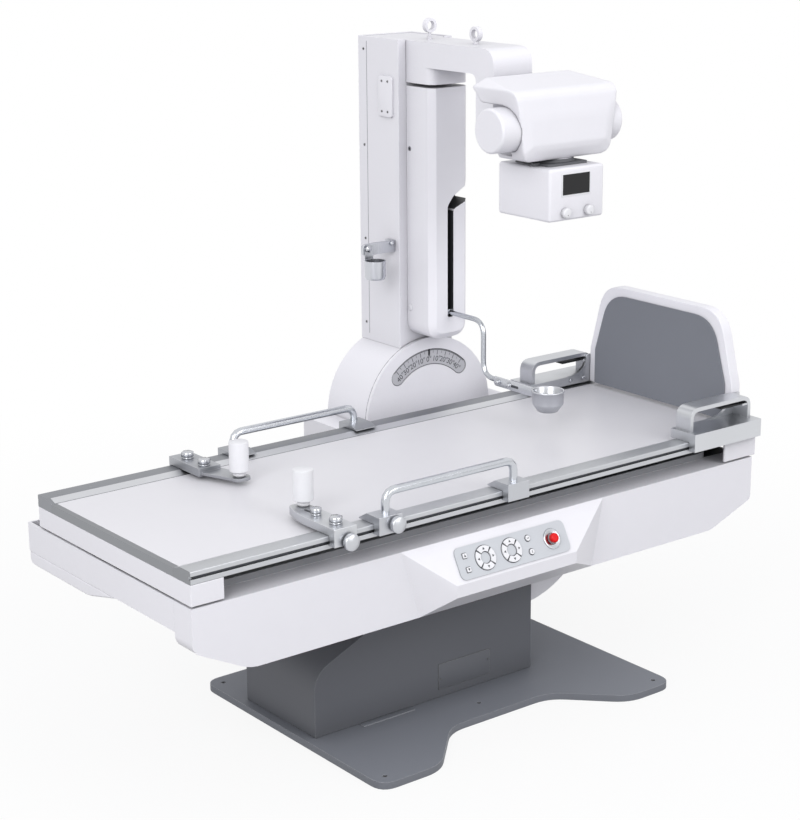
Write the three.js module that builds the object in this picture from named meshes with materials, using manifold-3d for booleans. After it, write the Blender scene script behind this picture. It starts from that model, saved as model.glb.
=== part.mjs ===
// Tilting radiography and fluoroscopy table with a tube column, a tube head and a compressor.
// Millimetres, +Z up, +X towards the foot end, -Y towards the operator's side.
// The origin lies on the floor, under the middle of the pedestal and of the tabletop's width.
import * as THREE from "three";
import { ConvexGeometry } from "three/addons/geometries/ConvexGeometry.js";
import { mergeVertices } from "three/addons/utils/BufferGeometryUtils.js";
import Module from "manifold-3d";

const wasm = await Module();
wasm.setup();

// Gaps between pieces
const SEAT = 0.3; // pieces that are fixed against each other
const RUN = 0.5; // pieces that slide or turn in each other

// Floor plate
const PLATE_THICK = 20;
const PLATE_LEFT = -420;
const PLATE_RIGHT = 640;
const PLATE_FRONT = -463;
const PLATE_BACK = 390;
const PLATE_CORNER = 50;
const NOTCH_LEFT = -222;
const NOTCH_RIGHT = 470;
const NOTCH_DEPTH = 166;
const NOTCH_SLANT = 165;
const ANCHOR_R = 7;
const ANCHOR_INSET = 40;
const FRONT_ANCHOR = [106, 72]; // x, and distance behind the notch

// Pedestal
const PEDESTAL_LEFT = -392;
const PEDESTAL_RIGHT = 387;
const PEDESTAL_FRONT = -127;
const PEDESTAL_BACK = 207;
const PEDESTAL_TOP = 420;
const PEDESTAL_LEFT_TOP = 205; // where the sloping top meets the left wall
const PEDESTAL_SLOPE_END = 91; // where the sloping top meets the level top
const COVER_WALL = 4;

// Tilt drive
const TILT_X = 395;
const TILT_Z = 508;
const SECTOR_R = 318;
const SECTOR_WIDTH = 200;
const SECTOR_RIM = 12;
const SECTOR_SIDE = 8;
const CHEEK_THICK = 20;
const CHEEK_SPACE = 20; // from the sector's side to a cheek
const ROLLER_R = 30;
const ROLLER_ANGLES = { support_roller: -100, drive_pinion: -150 };
const MOTOR = [200, 130, 150];
const CARRIAGE_PLATE = [550, 300, 13];
const GUIDE_WIDTH = 20;
const GUIDE_SPACING = 200;
const GUIDE_SINK = 6; // how deep a guide runs in the carriage plate
const BODY_LIFT = 5; // from the carriage plate up to the body's floor

// Table body
const TABLE_HEAD = -920;
const TABLE_LENGTH = 1966;
const TABLE_WIDTH = 760;
const BODY_FOOT_INSET = 10; // from the tabletop's foot end
const BODY_OVERHANG = 67; // behind the tabletop
const BODY_HEIGHT = 82;
const BODY_WALL = 6;
const FRONT_LEDGE = 18; // of the body's front wall over its other walls, between the ribs
const REAR_GUIDE = [25, 40, 22]; // depth, height, and height of its underside over the body's floor
const REAR_GUIDE_INSET = 60;
const BLOCK_LENGTH = 200;
const BLOCK_DROP = 36;
const BLOCK_INNER = 130;
const BLOCK_SLOPE = 150;

// Front skirt with the console
const SKIRT_DEPTH = 80;
const SKIRT_WALL = 5;
const SKIRT_INSET = [0, 3]; // from the body's ends: head, foot
const SKIRT_DROP = 112; // below the body's floor
const SKIRT_HEAD_CUT = [163, 81];
const SKIRT_FOOT_CUT = [167, 63];
const CONSOLE_REACH = 60;
const CONSOLE_TOP = [-290, 425]; // x of the console's ends at the skirt's top
const CONSOLE_LIP = [-150, 272];
const CONSOLE_BOTTOM = [-228, 386];
const LIP_DROP = 108; // from the skirt's top down to the lip
const LIP_HEIGHT = 34;

// Control panel, in the plane of the console
const PANEL_X = 62;
const PANEL_DROP = 10; // below the middle of the console's slope
const PANEL_LENGTH = 385;
const PANEL_HEIGHT = 88;
const PANEL_THICK = 3;
const PANEL_CORNER = 20;
const PANEL_RIM = 8; // the panel's seat round the window behind it
const KEY_GAP = 0.4;
const KEY_RISE = 3.5;
const KEY_DEPTH = 1.5; // below the panel's underside
const SQUARE_KEY = 13;
const SQUARE_KEYS_X = -163;
const ROUND_KEY_R = 8;
const ROUND_KEYS_X = 57;
const KEY_ROW = 19; // from the panel's middle line to a row of keys
const PAD_OUTER_R = 33;
const PAD_INNER_R = 17;
const PAD_WEB = 3;
const PADS_X = { tilt_pad: -98, travel_pad: -7 };
const STOP_X = 138;
const STOP_STEM_R = 8;
const STOP_HEAD_R = 13.5;
const STOP_RISE = [4, 17]; // underside and top of the stop button's head over the panel

// Tabletop
const TABLE_TOP = 700;
const RAIL_HEIGHT = 34;
const RAIL_FLAT = 46;
const RAIL_BEVEL = [30, 10]; // run and drop of the bevel down to the panel
const GROOVE = [9, 8, 13]; // depth, height, height over the rail's underside
const TOP_THICK = 22;
const TRIM_WIDTH = 16;
const COVER_RETURN = [95, 132]; // along the rails: head, foot
const END_COVER_HEIGHT = 56;
const END_COVER_WALL = 8;
const BEAM_WIDTH = 40;
const BEAM_DROP = 27;
const BEAM_INSET = 140; // from the tabletop's ends to the middle of the cross beams
const RIB_WIDTH = 12;

// Column carriage
const COLUMN_INSET = 489; // from the tabletop's foot end
const PIVOT_Z = 620;
const CARRIAGE_BOX = [674, 302, 266];
const CARRIAGE_WALL = 4;
const CARRIAGE_SPACE = 29; // from the body's back to the carriage
const JAW_LENGTH = 314;
const JAW_HEIGHT = 84;
const LINK = [200, 10, 10]; // width, thickness, height over the body's top
const DETECTOR = [430, 430, 34];
const DISC_R = 247;
const DISC_THICK = 12;
const DISC_SETBACK = 84; // from the carriage's front to the disc's face
const DISC_FOOT = 100; // how far the disc plate reaches below the pivot
const SCALE_R = [157, 209];
const SCALE_SINK = 3;
const SCALE_ANGLE = 43;
const AXLE_R = 45;

// Column
const DRUM_WALL = 5;
const HUB_WALL = 14;
const MAST_WIDTH = 210;
const MAST_DEPTH = 201;
const MAST_TOP = 1799;
const MAST_WALL = 8;
const HOUSING_WIDTH = 150;
const HOUSING_DEPTH = 122;
const HOUSING_CHAMFER = 19;
const HOUSING_TOP = 1660;
const HOUSING_BOTTOM = 884;
const HOUSING_ROUND = 50;
const SLOT_WIDTH = 23;
const SLOT_BOTTOM = 952;
const SLOT_TOP = 1299;
const SLOT_DEPTH = 70;
const NOTCH_FROM = [11, 30]; // the notch's sill below the slot's top, and its brow over it, at the slot
const NOTCH_TO = [16, 68]; // its sill and its brow over the slot's top, at the housing's side
const CUP_BAR = [124, 12, 36]; // reach, thickness, height
const CUP_BAR_Y = 20; // behind the mast's front
const CUP_BAR_Z = 1168;
const HOLDER_R = 32.5;
const HOLDER_HEIGHT = 58;
const HOLDER_WALL = 3;
const HOLDER_OUT = 104; // from the mast to the cup's middle

// Lift column and tube arm
const LIFT_WALL = 6;
const LIFT_LENGTH = 720;
const ARM_WIDTH = 148;
const ARM_TOP = 1796;
const ARM_THICK = 76;
const ARM_BLOCK_HEIGHT = 126;
const ARM_FRONT = 169;
const ARM_ROUND = 52;
const DROP_DEPTH = 78;
const DROP_BOTTOM = 1546;
const DROP_FILLET = 26;
const BLOCK_ROUND = 34;
const EYES = [
  { y: 554, rise: 41, across: true },
  { y: 335, rise: 29, across: false },
];
const EYE_R = [13.5, 22];
const EYE_WIDTH = 15;
const EYE_COLLAR = [9, 8]; // radius and height
const EYE_SHANK_R = 5;

// Tube head
const TUBE_Z = 1594;
const TUBE_R = 63.5;
const TUBE_LENGTH = 456;
const TUBE_SHIFT = -7; // of the tube's middle from the arm's
const TUBE_EDGE = 5;
const TRUNNION_R = 42;
const HOOD_SHIFT = 4; // of the hood's middle from the arm's
const HOOD_HALF = [176, 0.147]; // half its width at the axis, and how much that grows with height
const HOOD_PANEL = [141, 0.11]; // the same for the raised panel of its front and its top
const HOOD_RIM = [25, 10]; // drop of its side edges below the top, and their setback behind the front
const HOOD_TOP = 136; // over the tube's axis
const HOOD_BOTTOM = 90;
const HOOD_FRONT = 76;
const HOOD_BACK = 131;
const HOOD_TAIL = [33, 14]; // runs of the tail's underside, and of the top's edge, from its end
const HOOD_SHELF = 66; // the tail's underside over the axis
const HOOD_BROW = 28; // drop of the top towards the front
const HOOD_SHOULDER = [4, 56]; // setback, and height over the axis
// Depth of the hood's panel below the axis, and height and setback of its lower bevel
const HOOD_CHIN = [43, 16, 4];
const HOOD_LIP = [20, 24]; // setback of its bottom edge behind the front, and the cut of its bottom corners
const HOOD_FLOOR = [72, 12]; // reach behind the axis, and thickness
const HOOD_GAP = 0.4; // round the tube
const COLLIMATOR = [208, 222, 150];
const COLLIMATOR_CORNER = 10;
const NECK_R = 62;
const NECK_HEIGHT = 17;
const KNOB_R = 15;
const KNOB_LENGTH = 15;
const KNOBS_X = { collimator_knob_left: -47, collimator_knob_right: 41 };
const KNOB_RISE = 24; // over the collimator's underside

// Compressor
const COMPRESSOR_TUBE_R = 8.5;
const COMPRESSOR_Z = 966;
const COMPRESSOR_BEND = 46;
const COMPRESSOR_DROP_Y = 295;
const COMPRESSOR_LOW_Z = 796;
const LUG = [8, 105, 22];
const BLADE = [6, 28]; // thickness and height
const BLADE_BACK = 228;
const CUP_R = 47;
const CUP_FOOT_R = 31;
const CUP_HEIGHT = 64;
const CUP_TAPER = 24;
const CUP_WALL = 3;
const CUP_TOP = 812;

// Accessories on the rails
const LIP_THICK = 24; // of a clamp, in front of its rail
const CLAMP_REACH = 64; // of a handle's clamp over its rail, from the rail's outer face
const CLAMP_FLAT = 32; // of its top, before it slopes down to its inner edge
const CLAMP_EDGE = 3;
const CLAMP_DROP = 26;
const CLAMP_LENGTH = 74;
const HANDLE_TUBE_R = 11.5;
const HANDLE_BEND = 32;
const HANDLES = {
  side_handle_front: { side: -1, from: -338, to: 92, rise: 22, crest: 80 },
  side_handle_rear: { side: 1, from: -302, to: 124, rise: 12, crest: 54 },
};
const REST_WIDTH = 70;
const REST_PLATE = 9;
const REST_ROUND = 33;
const REST_TAPER = [22, 70]; // of the end of a bar that carries its own post
const POST_R = 27;
const POST_HEIGHT = 90;
const POST_SEAT_R = 12;
const POST_SEAT_HEIGHT = 8;
const RESTS = {
  front: { side: -1, x: -480, rise: 22, reach: 208, lip: LIP_THICK, seat: 22, post: [-462, -196] },
  rear: { side: 1, x: -474, rise: 24, reach: 148, lip: 8, seat: 12, post: [-437, 142] },
};

// Footrest
const BOARD_FOOT_INSET = 32; // from the tabletop's foot end to the board's face
const BOARD_THICK = 36;
const BOARD_SIDE_INSET = 74; // from the tabletop's sides
const BOARD_SHOULDER = 110; // height where the sides start to lean in
const BOARD_LEAN = 58; // of each side, up to the top
const BOARD_HEIGHT = 328;
const BOARD_ROUND = 76;
const PAD_BORDER = 26;
const PAD_THICK = 4;
const BRACKET_LENGTH = 278;
const BRACKET_RISE = 27;
const BRACKET_DROP = 26;
const LOOP_INSET = 12; // of the loop from the bracket's head end
const LOOP_LENGTH = 252;
const LOOP_RISE = 68;
const LOOP_WIDTH = 58;
const LOOP_BAND = 12;
const LOOP_ROUND = 34;
const GUSSET_LENGTH = 150;
const GUSSET_THICK = 8;
const LEVER = [80, 36, 6];
const LEVER_GAP = 10; // under the loop's bar

// Finishes
const finish = (color, roughness, metalness = 0) =>
  new THREE.MeshStandardMaterial({ color, roughness, metalness });
const WHITE_PAINT = 0xe4e3e9;
const TOP_GREY = 0xdcdbe0;
const BASE_GREY = 0x5a5c60;
const BARE_ALUMINIUM = 0xa6a8ab;
const PANEL_GREY = 0xd2d5d9;
const PAD_GREY = 0x787b82;
const STEEL_GREY = 0x8c8f94;
const LEVER_BLACK = 0x222326;
const STOP_RED = 0xe01818;
const white = () => finish(WHITE_PAINT, 0.4);
const aluminium = () => finish(BARE_ALUMINIUM, 0.35, 0.9);
const steel = () => finish(STEEL_GREY, 0.45, 0.8);

// Solids from geometry, and back
function solidOf(geometry) {
  const bare = geometry.index ? geometry.toNonIndexed() : geometry.clone();
  bare.deleteAttribute("normal");
  bare.deleteAttribute("uv");
  const merged = mergeVertices(bare, 1e-3);
  return new wasm.Manifold(
    new wasm.Mesh({
      numProp: 3,
      vertProperties: merged.attributes.position.array,
      triVerts: new Uint32Array(merged.index.array),
    }),
  );
}

function geometryOf(solid) {
  const mesh = solid.getMesh();
  return new THREE.BufferGeometry()
    .setAttribute("position", new THREE.BufferAttribute(mesh.vertProperties, 3))
    .setIndex(new THREE.BufferAttribute(mesh.triVerts, 1))
    .toNonIndexed();
}

const join = (first, ...others) =>
  geometryOf(others.reduce((all, g) => all.add(solidOf(g)), solidOf(first)));
const cut = (first, ...tools) =>
  geometryOf(tools.reduce((all, g) => all.subtract(solidOf(g)), solidOf(first)));
const common = (first, second) => geometryOf(solidOf(first).intersect(solidOf(second)));

// A closed outline from corners [u, v, setback], each rounded from setback before it to setback after it
function outline(corners) {
  const shape = new THREE.Shape();
  const points = corners.map(([u, v]) => new THREE.Vector2(u, v));
  points.forEach((corner, i) => {
    const setback = corners[i][2] ?? 0;
    const towards = (other) =>
      other.clone().sub(corner).setLength(setback).add(corner);
    const start = towards(points.at(i - 1));
    const end = towards(points[(i + 1) % points.length]);
    if (i === 0) shape.moveTo(start.x, start.y);
    else shape.lineTo(start.x, start.y);
    if (setback > 0) shape.quadraticCurveTo(corner.x, corner.y, end.x, end.y);
  });
  shape.closePath();
  return shape;
}

function rectangle(width, height, corner = 0, u = 0, v = 0) {
  const [w, h] = [width / 2, height / 2];
  return outline([
    [u - w, v - h, corner],
    [u + w, v - h, corner],
    [u + w, v + h, corner],
    [u - w, v + h, corner],
  ]);
}

function disc(radius, u = 0, v = 0) {
  return new THREE.Shape().absarc(u, v, radius, 0, 2 * Math.PI);
}

// A ring segment round (u, v), its ends square, from one angle to another in radians
function ringSegment(inner, outer, from, to, u = 0, v = 0) {
  const shape = new THREE.Shape();
  shape.absarc(u, v, outer, from, to, false);
  shape.absarc(u, v, inner, to, from, true);
  shape.closePath();
  return shape;
}

// Prisms along the three axes: the outline's own axes are x and y, y and z, or x and z
function extrude(shape, length, curveSegments = 6) {
  return new THREE.ExtrudeGeometry(shape, { depth: length, bevelEnabled: false, curveSegments });
}
const alongZ = (shape, from, to, segments) =>
  extrude(shape, to - from, segments).translate(0, 0, from);
function alongX(shape, from, to, segments) {
  const turn = new THREE.Matrix4().makeBasis(
    new THREE.Vector3(0, 1, 0),
    new THREE.Vector3(0, 0, 1),
    new THREE.Vector3(1, 0, 0),
  );
  return extrude(shape, to - from, segments).applyMatrix4(turn).translate(from, 0, 0);
}
function alongY(shape, from, to, segments) {
  return extrude(shape, to - from, segments).rotateX(Math.PI / 2).translate(0, to, 0);
}

function block(x0, x1, y0, y1, z0, z1) {
  return new THREE.BoxGeometry(x1 - x0, y1 - y0, z1 - z0).translate(
    (x0 + x1) / 2,
    (y0 + y1) / 2,
    (z0 + z1) / 2,
  );
}

// A round bar along a path of points, its inner corners bent to a radius
function bentBar(points, bend, radius, sides, steps) {
  const path = new THREE.CurvePath();
  let start = points[0];
  for (let i = 1; i < points.length; i++) {
    const corner = points[i];
    const next = points[i + 1];
    if (!next) {
      path.add(new THREE.LineCurve3(start, corner));
      break;
    }
    const before = start.clone().sub(corner).setLength(bend).add(corner);
    const after = next.clone().sub(corner).setLength(bend).add(corner);
    path.add(new THREE.LineCurve3(start, before));
    path.add(new THREE.QuadraticBezierCurve3(before, corner, after));
    start = after;
  }
  const section = [...Array(sides).keys()].map((i) => {
    const angle = (2 * Math.PI * i) / sides;
    return new THREE.Vector2(radius * Math.cos(angle), radius * Math.sin(angle));
  });
  return new THREE.ExtrudeGeometry(new THREE.Shape(section), {
    extrudePath: path,
    steps,
    bevelEnabled: false,
  });
}

function group(parent, x = 0, y = 0, z = 0) {
  const made = new THREE.Group();
  made.position.set(x, y, z);
  parent?.add(made);
  return made;
}

function piece(parent, name, geometry, material) {
  const mesh = new THREE.Mesh(geometry, material);
  mesh.name = name;
  parent.add(mesh);
  return mesh;
}

const table = group(null);

// Floor plate: one steel plate with two front feet and anchor holes
const base = group(table);
const notchBack = PLATE_FRONT + NOTCH_DEPTH;
const plateShape = outline([
  [PLATE_LEFT, PLATE_FRONT, PLATE_CORNER],
  [NOTCH_LEFT, PLATE_FRONT, PLATE_CORNER],
  [NOTCH_LEFT + NOTCH_SLANT, notchBack, PLATE_CORNER],
  [NOTCH_RIGHT - NOTCH_SLANT, notchBack, PLATE_CORNER],
  [NOTCH_RIGHT, PLATE_FRONT, PLATE_CORNER],
  [PLATE_RIGHT, PLATE_FRONT, PLATE_CORNER],
  [PLATE_RIGHT, PLATE_BACK, PLATE_CORNER],
  [PLATE_LEFT, PLATE_BACK, PLATE_CORNER],
]);
const anchors = [
  [PLATE_LEFT + ANCHOR_INSET, PLATE_FRONT + ANCHOR_INSET],
  [PLATE_RIGHT - ANCHOR_INSET, PLATE_FRONT + ANCHOR_INSET],
  [PLATE_LEFT + ANCHOR_INSET, PLATE_BACK - ANCHOR_INSET],
  [PLATE_RIGHT - ANCHOR_INSET, PLATE_BACK - ANCHOR_INSET],
  [FRONT_ANCHOR[0], notchBack + FRONT_ANCHOR[1]],
];
plateShape.holes = anchors.map(([x, y]) => disc(ANCHOR_R, x, y));
piece(base, "floor_plate", alongZ(plateShape, 0, PLATE_THICK), finish(BASE_GREY, 0.6));

// Pedestal cover: folded sheet, open below, with a slot at its foot end where the tilt sector turns
const pedestalFoot = PLATE_THICK + SEAT;
const pedestalMiddle = (PEDESTAL_FRONT + PEDESTAL_BACK) / 2;
const sectorHalf = SECTOR_WIDTH / 2;
const slopeRise = PEDESTAL_TOP - PEDESTAL_LEFT_TOP;
function pedestalOutline(inset, foot) {
  return outline([
    [PEDESTAL_LEFT + inset, foot],
    [PEDESTAL_RIGHT - inset, foot],
    [PEDESTAL_RIGHT - inset, PEDESTAL_TOP - inset],
    [PEDESTAL_SLOPE_END, PEDESTAL_TOP - inset, slopeRise / 6],
    [PEDESTAL_LEFT + inset, PEDESTAL_LEFT_TOP - inset, slopeRise / 4],
  ]);
}
const slotLeft = TILT_X - SECTOR_R - CHEEK_SPACE / 2;
const sectorSlot = block(
  slotLeft,
  PEDESTAL_RIGHT + CHEEK_SPACE,
  pedestalMiddle - sectorHalf - CHEEK_SPACE / 2,
  pedestalMiddle + sectorHalf + CHEEK_SPACE / 2,
  TILT_Z - SECTOR_R - CHEEK_SPACE,
  PEDESTAL_TOP + CHEEK_SPACE,
);
piece(
  base,
  "pedestal_cover",
  cut(
    alongY(pedestalOutline(0, pedestalFoot), PEDESTAL_FRONT, PEDESTAL_BACK),
    alongY(
      pedestalOutline(COVER_WALL, 0),
      PEDESTAL_FRONT + COVER_WALL,
      PEDESTAL_BACK - COVER_WALL,
    ),
    sectorSlot,
  ),
  finish(BASE_GREY, 0.6),
);

// Pedestal frame: two cheeks on a sole plate, which carry the rollers under the sector
const cheekInner = sectorHalf + CHEEK_SPACE;
const cheekOuter = cheekInner + CHEEK_THICK;
const frameLeft = PEDESTAL_LEFT + 4 * CHEEK_THICK;
const frameRight = PEDESTAL_RIGHT - COVER_WALL - CHEEK_THICK / 2;
const frameShape = outline([
  [frameLeft, pedestalFoot],
  [frameRight, pedestalFoot],
  [frameRight, PEDESTAL_TOP - CHEEK_THICK],
  [PEDESTAL_SLOPE_END - CHEEK_THICK, PEDESTAL_TOP - 2 * CHEEK_THICK],
  [frameLeft, PEDESTAL_LEFT_TOP],
]);
const soleTop = pedestalFoot + CHEEK_THICK;
const frameGroup = group(base, 0, pedestalMiddle, 0);
piece(
  frameGroup,
  "pedestal_frame",
  join(
    alongY(frameShape, -cheekOuter, -cheekInner),
    alongY(frameShape, cheekInner, cheekOuter),
    block(frameLeft, frameRight, -cheekOuter, cheekOuter, pedestalFoot, soleTop),
    block(frameLeft, frameLeft + CHEEK_THICK, -cheekOuter, cheekOuter, pedestalFoot, PEDESTAL_LEFT_TOP),
  ),
  steel(),
);

// Tilt motor with its gearbox, on the sole plate
const [motorLength, motorWidth, motorHeight] = MOTOR;
const motorLeft = frameLeft + 2 * CHEEK_THICK;
const motorFoot = soleTop + SEAT;
piece(
  frameGroup,
  "tilt_motor",
  join(
    block(
      motorLeft,
      motorLeft + motorLength,
      -motorWidth / 2,
      motorWidth / 2,
      motorFoot,
      motorFoot + motorHeight,
    ),
    alongX(
      disc(motorWidth / 3, 0, motorFoot + motorHeight / 2),
      motorLeft + motorLength - 1,
      motorLeft + 1.5 * motorLength,
    ),
  ),
  steel(),
);

// Rollers under the sector: the upper one is driven
for (const [name, degrees] of Object.entries(ROLLER_ANGLES)) {
  const angle = THREE.MathUtils.degToRad(degrees);
  const reach = SECTOR_R + ROLLER_R + RUN;
  const place = group(
    frameGroup,
    TILT_X + reach * Math.cos(angle),
    0,
    TILT_Z + reach * Math.sin(angle),
  );
  piece(place, name, alongY(disc(ROLLER_R), -cheekInner + SEAT, cheekInner - SEAT, 10), steel());
}

// Tilt sector: half a drum, open above, that rolls on the rollers and carries the table
const tilt = group(table, TILT_X, pedestalMiddle, TILT_Z);
const [carriageLength, carriageWidth, carriageThick] = CARRIAGE_PLATE;
const plateUnder = -carriageThick / 4;
const lean = Math.asin((SEAT - plateUnder) / SECTOR_R);
const halfDisc = new THREE.Shape().absarc(0, 0, SECTOR_R, Math.PI + lean, 2 * Math.PI - lean);
halfDisc.closePath();
const hollow = new THREE.Shape().absarc(0, 0, SECTOR_R - SECTOR_RIM, Math.PI, 2 * Math.PI);
hollow.closePath();
piece(
  tilt,
  "tilt_sector",
  cut(
    alongY(halfDisc, -sectorHalf, sectorHalf, 24),
    alongY(hollow, -sectorHalf + SECTOR_SIDE, sectorHalf - SECTOR_SIDE, 24),
  ),
  white(),
);

// Carriage plate on the sector, with two grooves for the guides of the table body
const plateTop = plateUnder + carriageThick;
const grooves = [-1, 1].map((side) => {
  const middle = (side * GUIDE_SPACING) / 2;
  const half = GUIDE_WIDTH / 2 + RUN;
  return block(
    -carriageLength,
    carriageLength,
    middle - half,
    middle + half,
    plateTop - GUIDE_SINK - RUN,
    plateTop + GUIDE_SINK,
  );
});
piece(
  tilt,
  "carriage_plate",
  cut(
    block(
      -carriageLength / 2,
      carriageLength / 2,
      -carriageWidth / 2,
      carriageWidth / 2,
      plateUnder,
      plateTop,
    ),
    ...grooves,
  ),
  steel(),
);

// Table body: a welded tray with guides under its floor, cross ribs and the column's guide behind
const body = group(table);
const bodyFloor = TILT_Z + plateTop + BODY_LIFT;
const bodyTop = bodyFloor + BODY_HEIGHT;
const halfTable = TABLE_WIDTH / 2;
const tableFoot = TABLE_HEAD + TABLE_LENGTH;
const bodyFoot = tableFoot - BODY_FOOT_INSET;
const bodyBack = halfTable + BODY_OVERHANG;
const trayFront = SKIRT_DEPTH - halfTable + SEAT;
const underTop = TABLE_TOP - RAIL_BEVEL[1] - TOP_THICK;
const ribTop = underTop - BEAM_DROP - SEAT;
const beamXs = [TABLE_HEAD + BEAM_INSET, tableFoot - BEAM_INSET];
const [guideDepth, guideHeight, guideLift] = REAR_GUIDE;
const guideFoot = bodyFloor + guideLift;
const underGuides = [-1, 1].map((side) => {
  const middle = pedestalMiddle + (side * GUIDE_SPACING) / 2;
  return block(
    TABLE_HEAD + BLOCK_LENGTH,
    bodyFoot - BODY_WALL,
    middle - GUIDE_WIDTH / 2,
    middle + GUIDE_WIDTH / 2,
    bodyFloor - BODY_LIFT - GUIDE_SINK,
    bodyFloor + 1,
  );
});
const crossRibs = beamXs.map((x) =>
  block(x - RIB_WIDTH / 2, x + RIB_WIDTH / 2, trayFront + 1, bodyBack - 1, bodyFloor + 1, ribTop),
);
piece(
  body,
  "body_tray",
  join(
    cut(
      block(TABLE_HEAD, bodyFoot, trayFront, bodyBack, bodyFloor, bodyTop),
      block(
        TABLE_HEAD + BODY_WALL,
        bodyFoot - BODY_WALL,
        trayFront + BODY_WALL,
        bodyBack - BODY_WALL,
        bodyFloor + BODY_WALL,
        bodyTop + BODY_WALL,
      ),
    ),
    ...underGuides,
    ...crossRibs,
    block(...beamXs, trayFront, trayFront + BODY_WALL, bodyTop - 1, bodyTop + FRONT_LEDGE),
    block(
      TABLE_HEAD + REAR_GUIDE_INSET,
      bodyFoot - REAR_GUIDE_INSET,
      bodyBack - 1,
      bodyBack + guideDepth,
      guideFoot,
      guideFoot + guideHeight,
    ),
  ),
  white(),
);

// Drive block cover under the head end of the body
piece(
  body,
  "head_block_cover",
  alongX(
    outline([
      [bodyBack, bodyFloor - SEAT],
      [bodyBack, bodyFloor - SEAT - BLOCK_DROP, BLOCK_DROP * 0.6],
      [BLOCK_INNER, bodyFloor - SEAT - BLOCK_DROP, BLOCK_DROP * 0.6],
      [BLOCK_INNER - BLOCK_SLOPE, bodyFloor - SEAT],
    ]),
    TABLE_HEAD,
    TABLE_HEAD + BLOCK_LENGTH - 1,
  ),
  white(),
);

// Front skirt: a moulded shell, open behind, whose console leans out below the tabletop
const skirtLeft = TABLE_HEAD + SKIRT_INSET[0];
const skirtRight = bodyFoot - SKIRT_INSET[1];
const skirtBottom = bodyFloor - SKIRT_DROP;
function skirtOutline(inset) {
  const bottom = skirtBottom + inset;
  return outline([
    [skirtLeft + inset, bodyTop - inset],
    [skirtLeft + inset, skirtBottom + SKIRT_HEAD_CUT[1] + inset / 2, 24],
    [skirtLeft + SKIRT_HEAD_CUT[0] + inset / 2, bottom, 30],
    [skirtRight - SKIRT_FOOT_CUT[0] - inset / 2, bottom, 14],
    [skirtRight - inset, skirtBottom + SKIRT_FOOT_CUT[1] + inset / 2, 12],
    [skirtRight - inset, bodyTop - inset],
  ]);
}
const lipTop = bodyTop - LIP_DROP;
function consoleHull(inset) {
  const face = -halfTable + inset;
  const lip = face - CONSOLE_REACH;
  const back = face + SKIRT_WALL + 1;
  const row = ([left, right], y, z) => [
    new THREE.Vector3(left + 2 * inset, y, z),
    new THREE.Vector3(right - 2 * inset, y, z),
  ];
  return new ConvexGeometry([
    ...row(CONSOLE_TOP, face, bodyTop - inset / 2),
    ...row(CONSOLE_TOP, back, bodyTop - inset / 2),
    ...row(CONSOLE_LIP, lip, lipTop - inset / 2),
    ...row(CONSOLE_LIP, lip, lipTop - LIP_HEIGHT + inset / 2),
    ...row(CONSOLE_BOTTOM, face, skirtBottom + inset),
    ...row(CONSOLE_BOTTOM, back, skirtBottom + inset),
  ]);
}
const consoleLean = Math.atan2(LIP_DROP, CONSOLE_REACH);
const panel = group(
  body,
  PANEL_X,
  -halfTable - CONSOLE_REACH / 2 - PANEL_DROP * Math.cos(consoleLean),
  bodyTop - LIP_DROP / 2 - PANEL_DROP * Math.sin(consoleLean),
);
panel.rotation.x = consoleLean;
panel.updateMatrix();
const panelWindow = alongZ(
  rectangle(PANEL_LENGTH - 2 * PANEL_RIM, PANEL_HEIGHT - 2 * PANEL_RIM, 4),
  -6 * SKIRT_WALL,
  SKIRT_WALL,
).applyMatrix4(panel.matrix);
const skirtBack = SKIRT_DEPTH - halfTable;
piece(
  body,
  "front_skirt",
  cut(
    join(alongY(skirtOutline(0), -halfTable, skirtBack), consoleHull(0)),
    alongY(skirtOutline(SKIRT_WALL), SKIRT_WALL - halfTable, skirtBack + SKIRT_WALL),
    consoleHull(SKIRT_WALL),
    panelWindow,
  ),
  white(),
);

// Control panel with its keys, in the console's plane: x along the table, y up the slope, z outwards
const keyOutlines = {
  key_square_upper: (gap) => rectangle(SQUARE_KEY + gap, SQUARE_KEY + gap, 2, SQUARE_KEYS_X, KEY_ROW),
  key_square_lower: (gap) => rectangle(SQUARE_KEY + gap, SQUARE_KEY + gap, 2, SQUARE_KEYS_X, -KEY_ROW),
  key_round_upper: (gap) => disc(ROUND_KEY_R + gap / 2, ROUND_KEYS_X, KEY_ROW),
  key_round_lower: (gap) => disc(ROUND_KEY_R + gap / 2, ROUND_KEYS_X, -KEY_ROW),
};
const padParts = { right: 0, up: 90, left: 180, down: 270 };
for (const [pad, x] of Object.entries(PADS_X)) {
  for (const [part, degrees] of Object.entries(padParts)) {
    const middle = THREE.MathUtils.degToRad(degrees);
    keyOutlines[`${pad}_${part}`] = (gap) => {
      const half = Math.PI / 4 - (PAD_WEB + KEY_GAP * 2 - gap) / (PAD_OUTER_R + PAD_INNER_R);
      return ringSegment(
        PAD_INNER_R - gap / 2,
        PAD_OUTER_R + gap / 2,
        middle - half,
        middle + half,
        x,
        0,
      );
    };
  }
}
const panelShape = rectangle(PANEL_LENGTH, PANEL_HEIGHT, PANEL_CORNER);
panelShape.holes = Object.values(keyOutlines).map((make) => make(2 * KEY_GAP));
panelShape.holes.push(disc(STOP_STEM_R + 2 * KEY_GAP, STOP_X, 0));
const panelFace = SEAT + PANEL_THICK;
piece(panel, "control_panel", alongZ(panelShape, SEAT, panelFace, 8), finish(PANEL_GREY, 0.45));
for (const [name, make] of Object.entries(keyOutlines)) {
  piece(panel, name, alongZ(make(0), SEAT - KEY_DEPTH, panelFace + KEY_RISE, 4), finish(WHITE_PAINT, 0.4));
}

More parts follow.
